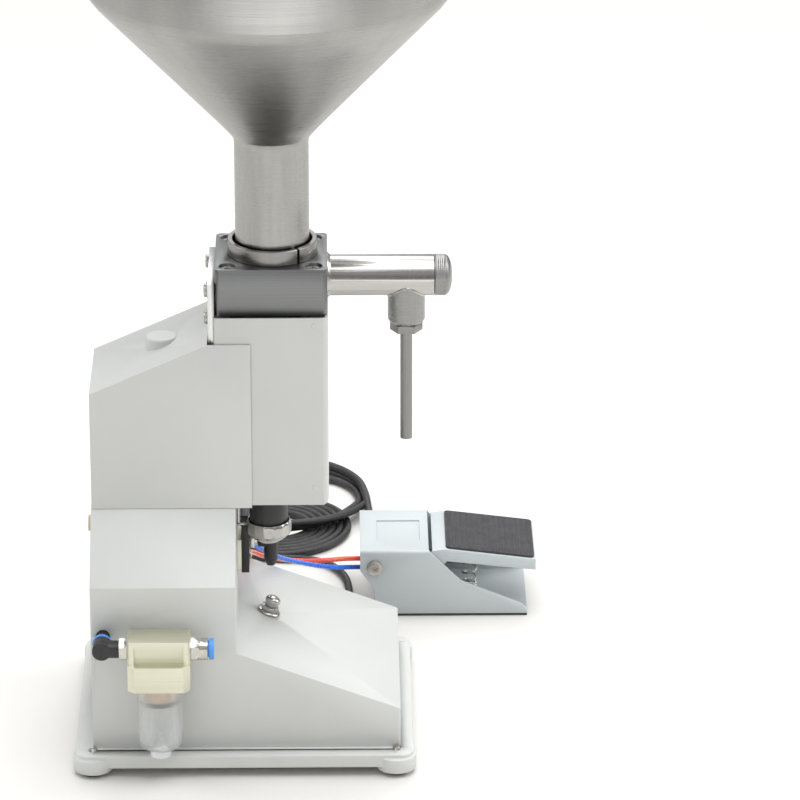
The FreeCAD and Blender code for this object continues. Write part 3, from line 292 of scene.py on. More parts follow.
def clear_plastic(name, colour):
    """A clear moulded bowl, faintly milky."""
    made = Finish(name, colour, 0.06)
    made.paint_between(made.noise(made.place(), 30, 2), 0.98, 1.0)
    made.rough_between(made.noise(made.place(), 90, 3), 0.04)
    made.bump(made.noise(made.place(), 60, 2), 0.02)
    return made.set(Transmission_Weight=0.78, IOR=1.4, Alpha=0.6).mat


def sintered(name, colour):
    """Sintered bronze: grains pressed together."""
    made = Finish(name, colour, 0.62, metallic=0.15)
    grains = made.node("TexVoronoi")
    grains.inputs["Scale"].default_value = 1600
    made.link(made.place(), grains.inputs["Vector"])
    made.paint_between(grains.outputs["Distance"], 1.15, 0.7, (0.1, 0.7))
    made.rough_between(grains.outputs["Distance"], 0.1)
    made.bump(grains.outputs["Distance"], 0.12)
    return made.mat


def soft_tube(name, colour):
    """Polyurethane tube: slightly translucent and glossy, with faint drawing lines."""
    made = Finish(name, colour, 0.28)
    made.paint_between(made.noise(made.place(), 70, 3), 0.92, 1.08)
    made.rough_between(made.noise(made.place(), 500, 3), 0.06)
    made.bump(made.noise(made.place(), 900, 2), 0.01)
    made.set(Subsurface_Weight=0.1, Subsurface_Scale=0.002)
    return made.set(Coat_Weight=0.3, Coat_Roughness=0.15).mat


def hose_skin(name, colour):
    """A rubber hose's cover, scuffed in use."""
    made = Finish(name, colour, 0.5)
    made.paint_between(made.noise(made.place(), 60, 5), 0.75, 1.4)
    made.rough_between(made.noise(made.place(), 400, 4), 0.12)
    made.bump(made.noise(made.place(), 1200, 3), 0.03)
    return made.mat


def wire_steel(name, colour):
    """Drawn spring wire."""
    made = Finish(name, colour, 0.25, metallic=1.0)
    made.paint_between(made.noise(made.place(), 200, 3), 0.85, 1.1)
    made.rough_between(made.noise(made.place(), 900, 3), 0.08)
    made.bump(made.noise(made.place(), 1500, 2), 0.01)
    return made.mat


PORT_Z = 375.0
PIPE_RAD, TEE_RAD = 15.8, 14.4
TEE_X = 103.0
PUMP_X = -5.0
HOPPER_AXIS, NOZZLE_AXIS, PUMP_AXIS = at(0, 0, 0), at(TEE_X, 0, 0), at(PUMP_X, 0, 0)
PIPE_AXIS = at(0, 0, PORT_Z)
WARM_GREY = (0.59, 0.60, 0.585)

# Each slot of the record: what it is, its colour, and what else its maker takes.
SLOTS = {
    "machine_paint": (painted, WARM_GREY),
    "casting_paint": (cast_paint, WARM_GREY),
    "brushed_stainless": (turned_metal, (0.36, 0.355, 0.345), 0.3, HOPPER_AXIS, "z", 0.2, 0.85),
    "block_steel": (ground_metal, (0.215, 0.22, 0.22), 0.4, (9, 900, 900), 0.005, 0.12),
    "bright_steel": (turned_metal, (0.27, 0.265, 0.26), 0.34, NOZZLE_AXIS, "z"),
    "zinc_steel": (plated, (0.50, 0.48, 0.44), 0.32),
    "ground_steel": (turned_metal, (0.68, 0.68, 0.68), 0.2, PUMP_AXIS, "z"),
    "spring_steel": (wire_steel, (0.72, 0.72, 0.72)),
    "cylinder_alloy": (turned_metal, (0.72, 0.73, 0.74), 0.35, PUMP_AXIS, "z"),
    "champagne_alloy": (anodised, (0.72, 0.715, 0.58)),
    "black_rubber": (rubbery, (0.045, 0.045, 0.049)),
    "black_plastic": (moulded, (0.022, 0.022, 0.024), 0.42),
    "clear_bowl": (clear_plastic, (0.97, 0.98, 0.98)),
    "sintered_bronze": (sintered, (0.80, 0.58, 0.36)),
    "nickel_plate": (plated, (0.60, 0.585, 0.54), 0.22),
    "seal_plastic": (moulded, (0.85, 0.85, 0.82), 0.4),
    "release_blue": (moulded, (0.08, 0.30, 0.78), 0.35, 0.2),
    "rear_plastic": (moulded, (0.55, 0.47, 0.34), 0.5),
    "drain_plastic": (moulded, (0.72, 0.74, 0.74), 0.3, 0.3),
    "blue_hose": (soft_tube, (0.03, 0.17, 0.80)),
    "red_hose": (soft_tube, (0.86, 0.09, 0.04)),
    "black_hose": (hose_skin, (0.022, 0.021, 0.022)),
    "pedal_paint": (painted, (0.50, 0.545, 0.56), 0.42, 0.02),
}
MATERIAL = {slot: make(slot, *values) for slot, (make, *values) in SLOTS.items()}
PIPE_METAL = turned_metal("pipe_metal", (0.48, 0.47, 0.455), 0.2, PIPE_AXIS, "x", streak=0.15, grain=0.2)
BRANCH_METAL = turned_metal("branch_metal", (0.30, 0.30, 0.295), 0.3, NOZZLE_AXIS, "z", streak=0.1)
RING_METAL = turned_metal("ring_metal", (0.27, 0.265, 0.26), 0.3, HOPPER_AXIS, "z")
CAP_METAL = turned_metal("cap_metal", (0.30, 0.295, 0.29), 0.34, PIPE_AXIS, "x")
CHROME = plated("chrome", (0.46, 0.45, 0.43), 0.18)
PLATE_METAL = ground_metal("plate_metal", (0.66, 0.66, 0.65), 0.32, (900, 900, 14), 0.006, 0.08)


# ---------------------------------------------------------------- carried-over CAD nodes
SPECIAL = {"outlet_pipe": PIPE_METAL, "back_plate": PLATE_METAL}
BEVEL = {"body_shell": 0.6, "rear_cover": 0.9, "base_casting": 1.0, "column_casing": 0.9,
         "valve_block": 0.5, "pedal_housing": 0.7, "treadle": 1.4, "filter_head": 0.8, "pedal_sole": 0.4}
SMALL_BEVEL = 0.2
WELD_GAP = 0.002
NO_BEVEL = {"inlet_spring", "outlet_spring", "treadle_spring", "piston_seals", "valve_seats"}
SMOOTH_BELOW = math.radians(32)


def finish_branch(node):
    """The nozzle's branch has a duller finish than the polished pipe that it hangs from."""
    margin = 0.5
    node.data.materials.append(BRANCH_METAL)
    for face in node.data.polygons:
        spot = (node.matrix_world @ face.center - AXIS) / MM
        if spot.z < PORT_Z - PIPE_RAD + margin and abs(spot.x - TEE_X) < TEE_RAD + margin:
            face.material_index = 1


def dress_nodes():
    """Give every CAD node its finish, weld its facets and break its sharp edges with a fine bevel."""
    for part in frame["record"]["subparts"]:
        node = frame["nodes"][part["node"]]
        node.data.materials.clear()
        node.data.materials.append(SPECIAL.get(part["node"], MATERIAL[part["material_slot"]]))
        for face in node.data.polygons:
            face.use_smooth = True
        if part["node"] == "outlet_pipe":
            finish_branch(node)
        weld = node.modifiers.new("weld", "WELD")
        weld.merge_threshold = WELD_GAP * MM
        if part["node"] in NO_BEVEL:
            continue
        bevel = node.modifiers.new("bevel", "BEVEL")
        bevel.width = BEVEL.get(part["node"], SMALL_BEVEL) * MM
        bevel.segments = 2
        bevel.limit_method = "ANGLE"
        bevel.angle_limit = SMOOTH_BELOW
        bevel.harden_normals = True


# ---------------------------------------------------------------- mesh helpers
def finish_piece(name, mesh, body, slot, replaced=None, material=None):
    """A mesh as a smooth piece that rides on a body, in its slot's material unless another is given."""
    mesh.materials.append(material or MATERIAL[slot])
    piece = bpy.data.objects.new(name, mesh)
    bpy.context.scene.collection.objects.link(piece)
    for face in mesh.polygons:
        face.use_smooth = True
    mesh.set_sharp_from_angle(angle=SMOOTH_BELOW)
    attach(piece, body)
    if replaced:
        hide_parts(replaced)
    return piece


def skin(mesh, rings, closed=False, capped=False):
    """Faces from each ring of vertices to the next, and back to the first or with a cap at each end."""
    pairs = list(zip(rings, rings[1:]))
    if closed:
        pairs.append((rings[-1], rings[0]))
    for first, second in pairs:
        for k in range(len(first)):
            m = (k + 1) % len(first)
            mesh.faces.new((first[k], first[m], second[m], second[k]))
    if capped:
        mesh.faces.new(rings[0])
        mesh.faces.new(rings[-1])


def lathe(profile, centre, axis="z", steps=64, wave=None):
    """A mesh turned round an axis from a closed outline of (radius, distance) pairs in millimetres.

    wave gives what is added to a radius at an angle, a radius and a distance.
    """
    mesh = bmesh.new()
    rings = []
    for radius, along in profile:
        ring = []
        for i in range(steps):
            angle = 2 * math.pi * i / steps
            reach = radius + (wave(angle, radius, along) if wave else 0.0)
            across, up = reach * math.cos(angle), reach * math.sin(angle)
            spot = {"z": (across, up, along), "x": (along, across, up), "y": (up, along, across)}[axis]
            ring.append(mesh.verts.new(centre + Vector(spot) * MM))
        rings.append(ring)
    skin(mesh, rings, closed=True)
    return as_mesh(mesh)


def as_mesh(mesh):
    """The finished mesh data, with its doubled vertices joined and its faces turned outwards."""
    bmesh.ops.remove_doubles(mesh, verts=mesh.verts, dist=HAIR * MM)
    bmesh.ops.recalc_face_normals(mesh, faces=mesh.faces)
    data = bpy.data.meshes.new("piece")
    mesh.to_mesh(data)
    mesh.free()
    return data


def arc(centre_r, centre_z, radius, start, end, steps):
    """Profile points along an arc, angles in degrees."""
    points = []
    for i in range(steps + 1):
        angle = math.radians(start + (end - start) * i / steps)
        points.append((centre_r + radius * math.cos(angle), centre_z + radius * math.sin(angle)))
    return points


def sweep(points, radius, sides=10, closed=False):
    """A mesh tube of one radius (metres) along points, with caps on an open one."""
    mesh = bmesh.new()
    count = len(points)
    rings = []
    side = None
    for i, point in enumerate(points):
        ahead = points[(i + 1) % count] if closed or i < count - 1 else point
        behind = points[i - 1] if closed or i > 0 else point
        way = (ahead - behind).normalized()
        if side is None:
            side = way.orthogonal().normalized()
        side = (side - way * side.dot(way)).normalized()
        other = way.cross(side)
        rings.append([mesh.verts.new(point + (side * math.cos(a) + other * math.sin(a)) * radius)
                      for a in (2 * math.pi * k / sides for k in range(sides))])
    skin(mesh, rings, closed, capped=not closed)
    return as_mesh(mesh)


# ---------------------------------------------------------------- cords
PEDAL_X, PEDAL_Y, PEDAL_WIDE = 67.6, 190.0, 89.0
TUBE_WIDE, HOSE_WIDE = 4.0, 6.5
PORT_FACE, FAR_WALL = 41.0, 95.0
PEDAL_REAR = PEDAL_X + 18
BLUE_ROUTE = [
    (-23.0, PORT_FACE, 132), (-22, 56, 126.5), (-12, 77, 111), (2, 102, 92), (16, 130, 76),
    (30, 157, 61), (46, 184, 47), (63, 205, 38), (PEDAL_REAR, PEDAL_Y + 24.0, 34)]
RED_ROUTE = [
    (-23.0, PORT_FACE, 122.6), (-23.6, 60, 115.5), (-23.4, 80, 107), (-20.5, 101, 98.5), (-12, 122, 85),
    (3, 142, 73), (20, 162, 62.5), (39, 185, 53), (60, 200, 48.5), (PEDAL_REAR, PEDAL_Y + 14.5, 45.5)]
TAIL_ROUTE = [
    (52, FAR_WALL + 14, 36), (52.5, 126, 34.5), (54, 148, 24), (56, 172, 10.5), (58, 202, 4.2),
    (59, 234, 3.5), (55.5, 266, 3.4), (42, 291, 3.4), (21, 301, 3.4), (-2, 302, 3.4)]
PEDAL_RUN = [
    (74, 426, 9.9), (75.5, 398, 8.6), (80, 368, 4.6), (90, 338, 5.6), (98, 312, 13.5),
    (99.6, PEDAL_Y + PEDAL_WIDE + 14, 18)]

BUNDLE, BUNDLE_RAD, BUNDLE_TURNS = Vector((-4.0, 370.0)), 68.0, 6
LOOP, LOOP_RAD, LOOP_TURNS = Vector((-8.0, 428.0)), 77.5, 2
STEP_TURNS = 0.75
TURN_POINTS = 16
FLOOR_Z = 3.4
LAYER = 6.65


def ease(low, high, value):
    """0 below low, 1 above high, and smooth between."""
    share = max(0.0, min(1.0, (value - low) / (high - low)))
    return share * share * (3 - 2 * share)


def coil_point(turn):
    """A point of the hose's loose coil, that many turns after the tail meets it.

    The coil is a flat spiral wound inwards, then a step out over it, and two larger loops that lie half on
    the spiral and half behind it.
    """
    climb, second_climb, shrink = 0.2, 0.25, 2.0
    edge_in, edge_out = 75, 90
    out = ease(BUNDLE_TURNS, BUNDLE_TURNS + STEP_TURNS, turn)
    centre = BUNDLE.lerp(LOOP, out)
    inner = BUNDLE_RAD - LAYER * min(turn, BUNDLE_TURNS)
    looped = turn - BUNDLE_TURNS - STEP_TURNS
    outer = LOOP_RAD + LAYER * max(0.0, min(1.0, looped)) - shrink * ease(1.0, 2.0, looped)
    radius = inner + (outer - inner) * out
    angle = -math.pi / 2 - 2 * math.pi * turn
    spot = centre + Vector((math.cos(angle), math.sin(angle))) * radius
    above = 1 - ease(edge_in, edge_out, (spot - BUNDLE).length)
    over = above * ease(BUNDLE_TURNS, BUNDLE_TURNS + climb, turn)
    second = ease(1.0, 1.0 + second_climb, looped)
    return (spot.x, spot.y, FLOOR_Z + LAYER * (over + second))


def coil_route():
    """The coil's points, from just after the tail to just before the pedal's run."""
    last = int((BUNDLE_TURNS + LOOP_TURNS + STEP_TURNS) * TURN_POINTS)
    return [coil_point(i / TURN_POINTS) for i in range(1, last)]


def cord_curve(name, route, wide, slot, *replaced):
    """A cord as one smooth open spline through the route's points, in place of its CAD solids."""
    data = bpy.data.curves.new(name, "CURVE")
    data.dimensions = "3D"
    spline = data.splines.new("NURBS")
    spline.points.add(len(route) - 1)
    for point, spot in zip(spline.points, route):
        point.co = (*at(*spot), 1.0)
    spline.order_u = 3
    spline.use_endpoint_u = True
    data.resolution_u = 8
    data.bevel_depth = wide / 2 * MM
    data.bevel_resolution = 5
    data.use_fill_caps = True
    data.materials.append(MATERIAL[slot])
    cord = bpy.data.objects.new(name, data)
    bpy.context.scene.collection.objects.link(cord)
    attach(cord, MACHINE)
    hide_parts(*replaced)
    return cord


def make_cords():
    """Two pilot tubes hanging between the machine and the pedal, and the air hose coiled on the table."""
    blue = cord_curve("blue_air_tube", BLUE_ROUTE, TUBE_WIDE, "blue_hose", "blue_tube")
    red = cord_curve("red_air_tube", RED_ROUTE, TUBE_WIDE, "red_hose", "red_tube")
    hose = cord_curve("black_air_hose", TAIL_ROUTE + coil_route() + PEDAL_RUN, HOSE_WIDE, "black_hose",
                      "hose_tail", "hose_coil", "hose_pedal_run")


# ---------------------------------------------------------------- hopper, cap, weld and rivets
TUBE_RAD, HOPPER_WALL, HOPPER_RAD, RIM_RAD = 28.5, 1.5, 140.0, 3.2
TUBE_LOW, CONE_LOW, CONE_TALL, SHELL_TALL = 386.0, 489.5, 118.6, 112.0
PIPE_END = 124.4
CAP_RAD, CAP_LONG, CAP_DOME, CAP_PLUG = 16.3, 8.6, 5.2, 11.9
CAP_DEEP, CAP_THREAD, THREAD_RAD = 13.7, 10.2, 8.5
CASING_NEAR, RIVET_X, RIVET_LEVELS = -47.0, 31.5, (351.0, 217.0)


def make_hopper():
    """Spun shell: drawn neck, cone and cylinder with rounded bends, and a rolled rim."""
    cone_top = CONE_LOW + CONE_TALL
    rim_z = cone_top + SHELL_TALL
    slope = (HOPPER_RAD - TUBE_RAD) / CONE_TALL
    inner = HOPPER_RAD - HOPPER_WALL
    bore = TUBE_RAD - HOPPER_WALL
    profile = [(TUBE_RAD, TUBE_LOW), (TUBE_RAD, CONE_LOW - 5), (TUBE_RAD + 0.6, CONE_LOW - 1.4),
               (TUBE_RAD + 2.6, CONE_LOW + 2.4)]
    profile += [(TUBE_RAD + slope * rise, CONE_LOW + rise) for rise in (20, 45, 70, 95, 112)]
    profile += [(HOPPER_RAD - 2.2, cone_top - 1.2), (HOPPER_RAD - 0.5, cone_top + 2)]
    profile += [(HOPPER_RAD, cone_top + 6)]
    profile += [(HOPPER_RAD, cone_top + SHELL_TALL * share) for share in (0.3, 0.6, 0.85)]
    profile += arc(HOPPER_RAD - HOPPER_WALL / 2, rim_z, RIM_RAD, -60, 240, 20)
    profile += [(inner, rim_z - 12), (inner, cone_top + 6), (inner - 2.4, cone_top)]
    profile += [(bore + slope * rise, CONE_LOW + rise + 0.6) for rise in (95, 60, 30)]
    profile += [(bore, CONE_LOW - 3), (bore, TUBE_LOW)]
    shell = lathe(profile, HOPPER_AXIS, steps=192)
    finish_piece("hopper_shell", shell, MACHINE, "brushed_stainless", "hopper")


def make_end_cap():
    """The outlet's cap: a diamond-knurled band, a domed face and a plain plug inside the pipe."""
    teeth, pitch, depth, step = 64, 1.6, 0.2, 0.2
    start = PIPE_END + 0.3
    crown = start + CAP_LONG

    def knurl(angle, radius, along):
        if not start + 1.0 < along < crown - 0.6 or radius < CAP_RAD - 0.4:
            return 0.0
        half_turn = teeth * angle / 2
        half_twist = (along - start) * math.pi / pitch
        return -depth * (1 - math.cos(half_turn + half_twist) * math.cos(half_turn - half_twist)) / 2

    profile = [(HAIR, PIPE_END - CAP_THREAD), (THREAD_RAD, PIPE_END - CAP_THREAD),
               (THREAD_RAD, PIPE_END - CAP_DEEP), (CAP_PLUG, PIPE_END - CAP_DEEP),
               (CAP_PLUG, start), (CAP_RAD - 0.8, start), (CAP_RAD, start + 0.5)]
    profile += [(CAP_RAD - 0.3, start + 0.8 + step * i) for i in range(int((CAP_LONG - 1.0) / step))]
    profile += [(CAP_RAD - 0.2, crown - 0.4), (CAP_RAD - 0.6, crown)]
    dome_steps = 14
    for i in range(dome_steps + 1):
        angle = i / dome_steps * math.pi / 2
        profile.append(((CAP_RAD - 1.0) * math.cos(angle) + HAIR, crown + CAP_DOME * math.sin(angle)))
    cap = lathe(profile, PIPE_AXIS, "x", 384, knurl)
    finish_piece("knurled_cap", cap, "end_cap", "bright_steel", "end_cap", CAP_METAL)


def make_tee_weld():
    """The weld bead where the nozzle branch meets the pipe."""
    count, ripples, ripple_tall, bead_rad = 96, 31, 0.12, 1.1
    bead = []
    for i in range(count):
        angle = 2 * math.pi * i / count
        across = TEE_RAD * math.sin(angle)
        drop = math.sqrt(PIPE_RAD ** 2 - across ** 2)
        ripple = ripple_tall * math.sin(ripples * angle)
        bead.append(at(TEE_X + TEE_RAD * math.cos(angle), across, PORT_Z - drop + ripple))
    weld = sweep(bead, bead_rad * MM, closed=True)
    finish_piece("tee_weld", weld, MACHINE, "brushed_stainless", material=PIPE_METAL)


def make_casing_rivets():
    """Small plug rivets at the casing's near side, where its inner bracket is fixed."""
    dome = [(2.0, 0.0), (1.9, 0.35), (1.4, 0.6), (0.7, 0.72), (HAIR, 0.75), (HAIR, -0.4), (2.0, -0.4)]
    profile = [(radius, CASING_NEAR - proud) for radius, proud in dome]
    for number, level in enumerate(RIVET_LEVELS):
        rivet = lathe(profile, at(RIVET_X, 0, level), "y", 32)
        finish_piece("casing_rivet_%d" % (number + 1), rivet, MACHINE, "machine_paint")


# ---------------------------------------------------------------- clamp ring, stud, adjuster ring
RING_OUT, RING_IN, RING_LOW, RING_TALL, RING_GAP = 34.5, 30.6, 394.5, 11.7, 2.2
RING_GAP_AT = math.radians(-54)
STUD_X, STUD_Y = -6.0, 3.0
SLOPE_BACK, SLOPE_FRONT, SLOPE_TOP, SLOPE_LOW = -30.0, 97.4, 98.4, 50.5
STUD_RAD, STUD_BORE, NUT_FLATS = 3.95, 4.1, 13.0
ADJUST_RAD, ADJUST_IN, ADJUST_LOW, ADJUST_TALL, ADJUST_FLOOR = 17.8, 15.05, 152.5, 18.5, 10.2


def make_split_ring():
    """The clamp ring round the hopper's neck: a turned band with broken edges and one sawn gap."""
    edge, steps = 0.5, 150
    section = [(RING_IN, edge), (RING_IN + edge, 0), (RING_OUT - edge, 0), (RING_OUT, edge),
               (RING_OUT, RING_TALL - edge), (RING_OUT - edge, RING_TALL), (RING_IN + edge, RING_TALL),
               (RING_IN, RING_TALL - edge)]
    half_gap = math.asin(RING_GAP / 2 / RING_OUT)
    mesh = bmesh.new()
    rings = []
    for i in range(steps + 1):
        angle = RING_GAP_AT + half_gap + (2 * math.pi - 2 * half_gap) * i / steps
        rings.append([mesh.verts.new(at(r * math.cos(angle), r * math.sin(angle), RING_LOW + z))
                      for r, z in section])
    skin(mesh, rings, capped=True)
    finish_piece("clamp_ring", as_mesh(mesh), MACHINE, "brushed_stainless", "split_ring", RING_METAL)


def hex_nut(flats, low, high, bore):
    """A hexagon nut's mesh about Z, its corners turned off at both ends."""
    face_share, steepness = 0.985, 1.9

    def shape(angle, radius, along):
        if radius <= bore:
            return 0.0
        from_flat = (angle + math.pi / 6) % (math.pi / 3) - math.pi / 6
        turned = flats / 2 * face_share + min(along - low, high - along) * steepness
        return min(flats / 2 / math.cos(from_flat), turned) - radius

    shares = (0, 0.04, 0.08, 0.13, 0.2, 0.8, 0.87, 0.92, 0.96, 1)
    side = [(flats / 2, low + (high - low) * share) for share in shares]
    return lathe([(bore, low)] + side + [(bore, high)], Vector(), steps=144, wave=shape)


def make_stud():
    """The platform's stud with its flange, nut and button head, square to the slope."""
    fall = (SLOPE_TOP - SLOPE_LOW) / (SLOPE_FRONT - SLOPE_BACK)
    level = SLOPE_TOP - fall * (STUD_X - SLOPE_BACK)
    place = Matrix.Translation(at(STUD_X, STUD_Y, level)) @ Matrix.Rotation(math.atan(fall), 4, "Y")
    flange = [(STUD_BORE, 0.1), (8.8, 0.1), (9.3, 0.6), (9.3, 1.3), (8.8, 1.9), (7.9, 2.3),
              (STUD_BORE, 2.3)]
    button = [(STUD_BORE, 5.9), (4.7, 5.9), (4.9, 8.2), (5.8, 8.8), (6.1, 9.6), (6.1, 10.9), (5.7, 12.0),
              (4.9, 12.9), (3.4, 13.7), (1.8, 14.1), (HAIR, 14.2), (HAIR, 12.5), (STUD_BORE, 12.5)]
    stud = [(HAIR, -14), (STUD_RAD - 0.35, -14), (STUD_RAD, -13.5), (STUD_RAD, 12), (HAIR, 12)]
    pieces = {"platform_flange": lathe(flange, Vector()),
              "platform_nut": hex_nut(NUT_FLATS, 2.2, 5.8, STUD_BORE),
              "platform_dome_nut": lathe(button, Vector()),
              "platform_stud": lathe(stud, Vector(), steps=48)}
    for name, mesh in pieces.items():
        mesh.transform(place)
        finish_piece(name, mesh, MACHINE, "zinc_steel", "slope_stud", CHROME)


def make_adjuster_ring():
    """The plated ring nut under the adjuster's sleeve: a funnel below, a band of flats and a dished top."""
    flats = 14

    def flat(angle, radius, along):
        if radius < ADJUST_RAD - 0.9 or not 8.5 < along < ADJUST_TALL - 0.5:
            return 0.0
        half = math.pi / flats
        return radius * (math.cos(half) / math.cos(angle % (2 * half) - half) - 1)

    profile = [(HAIR, 0.0), (7.4, 0.0), (8.0, 0.4), (13.0, 3.9), (16.4, 6.9), (17.4, 8.2)]
    profile += [(ADJUST_RAD, 9.6 + 1.2 * i) for i in range(6)]
    profile += [(ADJUST_RAD - 0.3, ADJUST_TALL - 1.6), (ADJUST_RAD - 1.3, ADJUST_TALL - 0.3),
                (ADJUST_RAD - 1.6, ADJUST_TALL - 0.4), (ADJUST_IN + 0.3, ADJUST_TALL - 2.9),
                (ADJUST_IN, ADJUST_TALL - 3.0), (ADJUST_IN, ADJUST_FLOOR), (HAIR, ADJUST_FLOOR)]
    ring = lathe(profile, at(PUMP_X, 0, ADJUST_LOW), steps=280, wave=flat)
    finish_piece("faceted_adjuster_ring", ring, "adjuster_ring", "nickel_plate", "adjuster_ring", CHROME)


# ---------------------------------------------------------------- springs
COIL_POINTS = 24


def helix(x, y, low, high, radius, turns, wire):
    """A coil spring's centre line, with closed end turns."""
    points = []
    count = turns * COIL_POINTS
    for i in range(count + 1):
        share = i / count
        pitch = ease(0.04, 0.96, share) * 0.6 + share * 0.4
        angle = 2 * math.pi * turns * share
        points.append(at(x + radius * math.cos(angle), y + radius * math.sin(angle),
                         low + wire + (high - low - 2 * wire) * pitch))
    return points


def spring_piece(name, path, wire, sides, body, replaced):
    """A spring of round wire along a path, in place of its CAD node."""
    return finish_piece(name, sweep(path, wire * MM, sides), body, "spring_steel", replaced)


def make_treadle_spring():
    """The spring that lifts the treadle; it stands on the pedal's floor and squashes."""
    radius, turns, wire = 5.6, 7, 1.15
    low, high = [corner.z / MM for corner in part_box("treadle_spring")]
    centre = (sum(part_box("treadle_spring"), Vector()) / 2 - AXIS) / MM
    path = helix(centre.x, centre.y, low, high, radius, turns, wire)
    spring = spring_piece("treadle_coil_spring", path, wire, 14, MACHINE, "treadle_spring")
    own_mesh(spring)


def make_inlet_spring():
    """The inlet poppet's spring, squashed as the poppet opens."""
    radius, turns, wire = 4.5, 5, 0.45
    low, high = [corner.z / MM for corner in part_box("inlet_spring")]
    path = helix(0, 0, low, high, radius, turns, wire)
    spring = spring_piece("inlet_coil_spring", path, wire, 8, MACHINE, "inlet_spring")
    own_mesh(spring)


def make_outlet_spring():
    """The outlet poppet's spring, lying along the pipe."""
    radius, turns, wire = 6.9, 11, 0.6
    low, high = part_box("outlet_spring")
    start, end = low.x + wire * MM, high.x - wire * MM
    count = turns * COIL_POINTS
    path = []
    for i in range(count + 1):
        angle = 2 * math.pi * i / COIL_POINTS
        path.append(Vector((start + (end - start) * i / count, AXIS.y + radius * MM * math.cos(angle),
                            (PORT_Z + radius * math.sin(angle)) * MM)))
    spring_piece("outlet_coil_spring", path, wire, 8, "outlet_valve", "outlet_spring")


# ---------------------------------------------------------------- treadle mat
MAT_U, MAT_V, MAT_W = 71.2, 6.0, 58.4
MAT_LONG, MAT_WIDE, MAT_THICK = 74.0, 77.0, 2.0
MAT_CORNER, MAT_BORDER, MAT_EDGE = 3.5, 2.6, 0.5
RIBS, RIB_POINTS, RIB_TALL, GROOVE_DEEP = 16, 8, 0.9, 0.4
TREADLE_BEND, TREADLE_TIP = Vector((70.0, 58.5)), Vector((146.0, 49.0))


def mat_section(i):
    """The mat's outline across it, at one of its steps along it."""
    along = MAT_LONG * i / (RIBS * RIB_POINTS)
    edge = min(along, MAT_LONG - along)
    inset = 0.0
    if edge < MAT_CORNER:
        inset = MAT_CORNER - math.sqrt(max(0.0, MAT_CORNER ** 2 - (MAT_CORNER - edge) ** 2))
    ribbed = ease(MAT_BORDER - 0.8, MAT_BORDER, edge)
    groove = (0.5 + 0.5 * math.cos(2 * math.pi * i / RIB_POINTS)) ** 2
    height = MAT_THICK - GROOVE_DEEP + RIB_TALL * ribbed * (1 - groove)
    near, far = inset, MAT_WIDE - inset
    section = [(near, 0), (near, MAT_THICK - MAT_EDGE), (near + MAT_EDGE, MAT_THICK),
               (near + MAT_BORDER, MAT_THICK), (near + MAT_BORDER + MAT_EDGE, height),
               (far - MAT_BORDER - MAT_EDGE, height), (far - MAT_BORDER, MAT_THICK),
               (far - MAT_EDGE, MAT_THICK), (far, MAT_THICK - MAT_EDGE), (far, 0)]
    return [(along, across, up) for across, up in section]


def make_treadle_mat():
    """A moulded mat with rounded corners, a flat border and ribs across the foot's direction."""
    mesh = bmesh.new()
    rings = [[mesh.verts.new(spot) for spot in mat_section(i)] for i in range(RIBS * RIB_POINTS + 1)]
    skin(mesh, rings, capped=True)
    mat = as_mesh(mesh)
    fall = TREADLE_TIP - TREADLE_BEND
    place = Matrix.Translation(at(PEDAL_X + MAT_U, PEDAL_Y + MAT_V, MAT_W))
    mat.transform(place @ Matrix.Rotation(math.atan2(-fall.y, fall.x), 4, "Y") @ Matrix.Scale(MM, 4))
    finish_piece("ribbed_treadle_mat", mat, "treadle", "black_rubber", "treadle_pad")


# ---------------------------------------------------------------- studio
# Each light: its place, what it faces, its width and height, all in metres, and its power in watts.
LIGHTS = {
    "top_light": ((0.3, -0.2, 2.6), (0, 0, 0.2), (2.6, 2.6), 61),
    "right_light": ((2.4, 0.3, 1.4), (0, 0, 0.3), (1.2, 1.6), 24),
    "left_light": ((-2.4, 0.4, 1.5), (0, 0, 0.3), (1.2, 1.6), 25),
    "back_light": ((0.2, 2.4, 2.4), (0, 0.9, 0), (2.4, 1.6), 26),
    "front_light": ((-1.2, -2.8, 1.4), (0, 0, 0.3), (1.4, 1.4), 6),
    "low_light": ((0.1, -1.2, 0.25), (0, 0, 0.06), (1.4, 0.3), 1.6),
}
# The room's walls, as (share, brightness): round the room, and from its floor to its ceiling.
WALL_BANDS = [(0.0, 0.12), (0.10, 0.12), (0.155, 1.6), (0.20, 0.5), (0.31, 0.5), (0.37, 0.4), (0.43, 1.6),
              (0.49, 0.5), (0.57, 0.25), (0.66, 0.9), (0.75, 1.3), (0.84, 0.9), (0.92, 0.2), (1.0, 0.12)]
WALL_LEVELS = [(0.0, 0.30), (0.46, 0.22), (0.56, 0.30), (0.72, 0.95), (1.0, 1.0)]
WARMTH = 0.99
FLOOR_HALF, FLOOR_DROP = 12, 0.0002


def make_lights():
    """Soft rectangular lights, all round and from above."""
    for name, (spot, aim, size, power) in LIGHTS.items():
        data = bpy.data.lights.new(name, "AREA")
        data.shape = "RECTANGLE"
        data.size, data.size_y = size
        data.energy = power
        light = bpy.data.objects.new(name, data)
        light.location = spot
        light.rotation_euler = (Vector(aim) - Vector(spot)).to_track_quat("-Z", "Y").to_euler()
        bpy.context.scene.collection.objects.link(light)


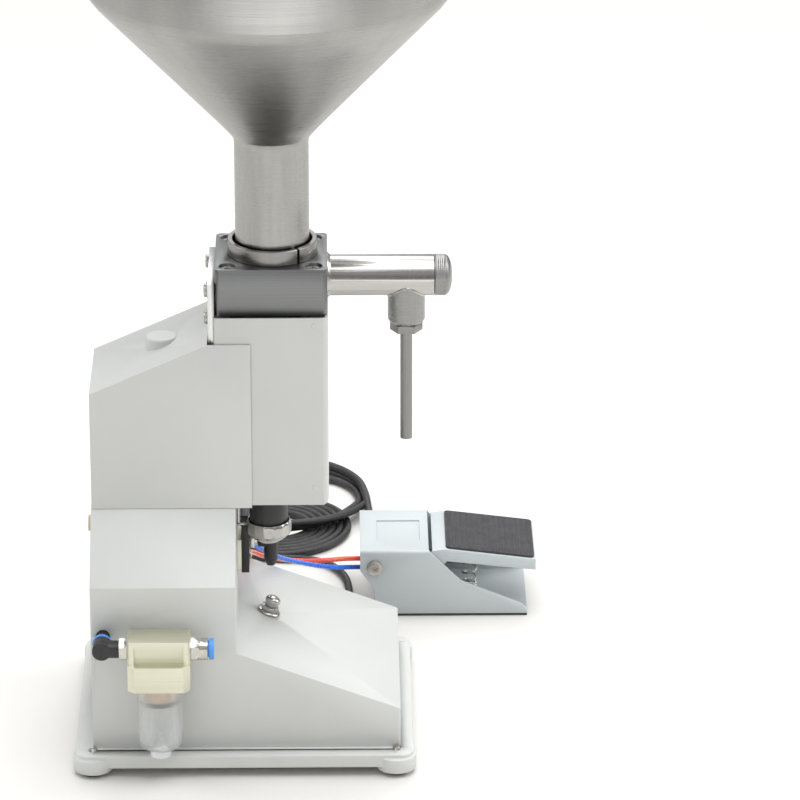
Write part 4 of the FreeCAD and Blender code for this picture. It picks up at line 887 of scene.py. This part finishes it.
def tone_ramp(tree, value, span, stops, blue):
    """A smooth grey ramp's colour, read by a value that runs over plus and minus the span."""
    reach = tree.nodes.new("ShaderNodeMapRange")
    reach.inputs["From Min"].default_value = -span
    reach.inputs["From Max"].default_value = span
    tree.links.new(value, reach.inputs["Value"])
    ramp = tree.nodes.new("ShaderNodeValToRGB")
    ramp.color_ramp.interpolation = "B_SPLINE"
    while len(ramp.color_ramp.elements) < len(stops):
        ramp.color_ramp.elements.new(0.5)
    for element, (place, tone) in zip(ramp.color_ramp.elements, stops):
        element.position = place
        element.color = (tone, tone, tone * blue, 1)
    tree.links.new(reach.outputs["Result"], ramp.inputs[0])
    return ramp.outputs[0]


def make_world():
    """A room whose walls have soft upright bands, under a pale ceiling and over a dim lower wall."""
    world = bpy.data.worlds.new("studio")
    bpy.context.scene.world = world
    world.use_nodes = True
    tree = world.node_tree
    coord = tree.nodes.new("ShaderNodeTexCoord")
    split = tree.nodes.new("ShaderNodeSeparateXYZ")
    tree.links.new(coord.outputs["Generated"], split.inputs[0])
    angle = tree.nodes.new("ShaderNodeMath")
    angle.operation = "ARCTAN2"
    tree.links.new(split.outputs["Y"], angle.inputs[0])
    tree.links.new(split.outputs["X"], angle.inputs[1])
    mix = tree.nodes.new("ShaderNodeMixRGB")
    mix.blend_type = "MULTIPLY"
    mix.inputs["Fac"].default_value = 1.0
    tree.links.new(tone_ramp(tree, angle.outputs[0], math.pi, WALL_BANDS, WARMTH), mix.inputs["Color1"])
    tree.links.new(tone_ramp(tree, split.outputs["Z"], 1.0, WALL_LEVELS, 1.0), mix.inputs["Color2"])
    back = tree.nodes["Background"]
    tree.links.new(mix.outputs[0], back.inputs["Color"])
    back.inputs["Strength"].default_value = 1.0


def make_floor():
    """A wide sheet of matt, warm white paper just under the object."""
    mesh = bmesh.new()
    bmesh.ops.create_grid(mesh, x_segments=8, y_segments=8, size=FLOOR_HALF)
    data = bpy.data.meshes.new("floor")
    mesh.to_mesh(data)
    mesh.free()
    made = Finish("floor_paper", (0.74, 0.73, 0.705), 0.9)
    made.paint_between(made.noise(made.place(), 3, 3), 0.995, 1.005)
    data.materials.append(made.mat)
    floor = bpy.data.objects.new("floor", data)
    floor.location.z = -FLOOR_DROP
    bpy.context.scene.collection.objects.link(floor)


make_camera()
make_cords()
dress_nodes()
make_hopper()
make_end_cap()
make_tee_weld()
make_split_ring()
make_stud()
make_adjuster_ring()
make_casing_rivets()
make_treadle_spring()
make_inlet_spring()
make_outlet_spring()
make_treadle_mat()
make_world()
make_floor()
make_lights()
bpy.context.scene.view_settings.view_transform = "Standard"
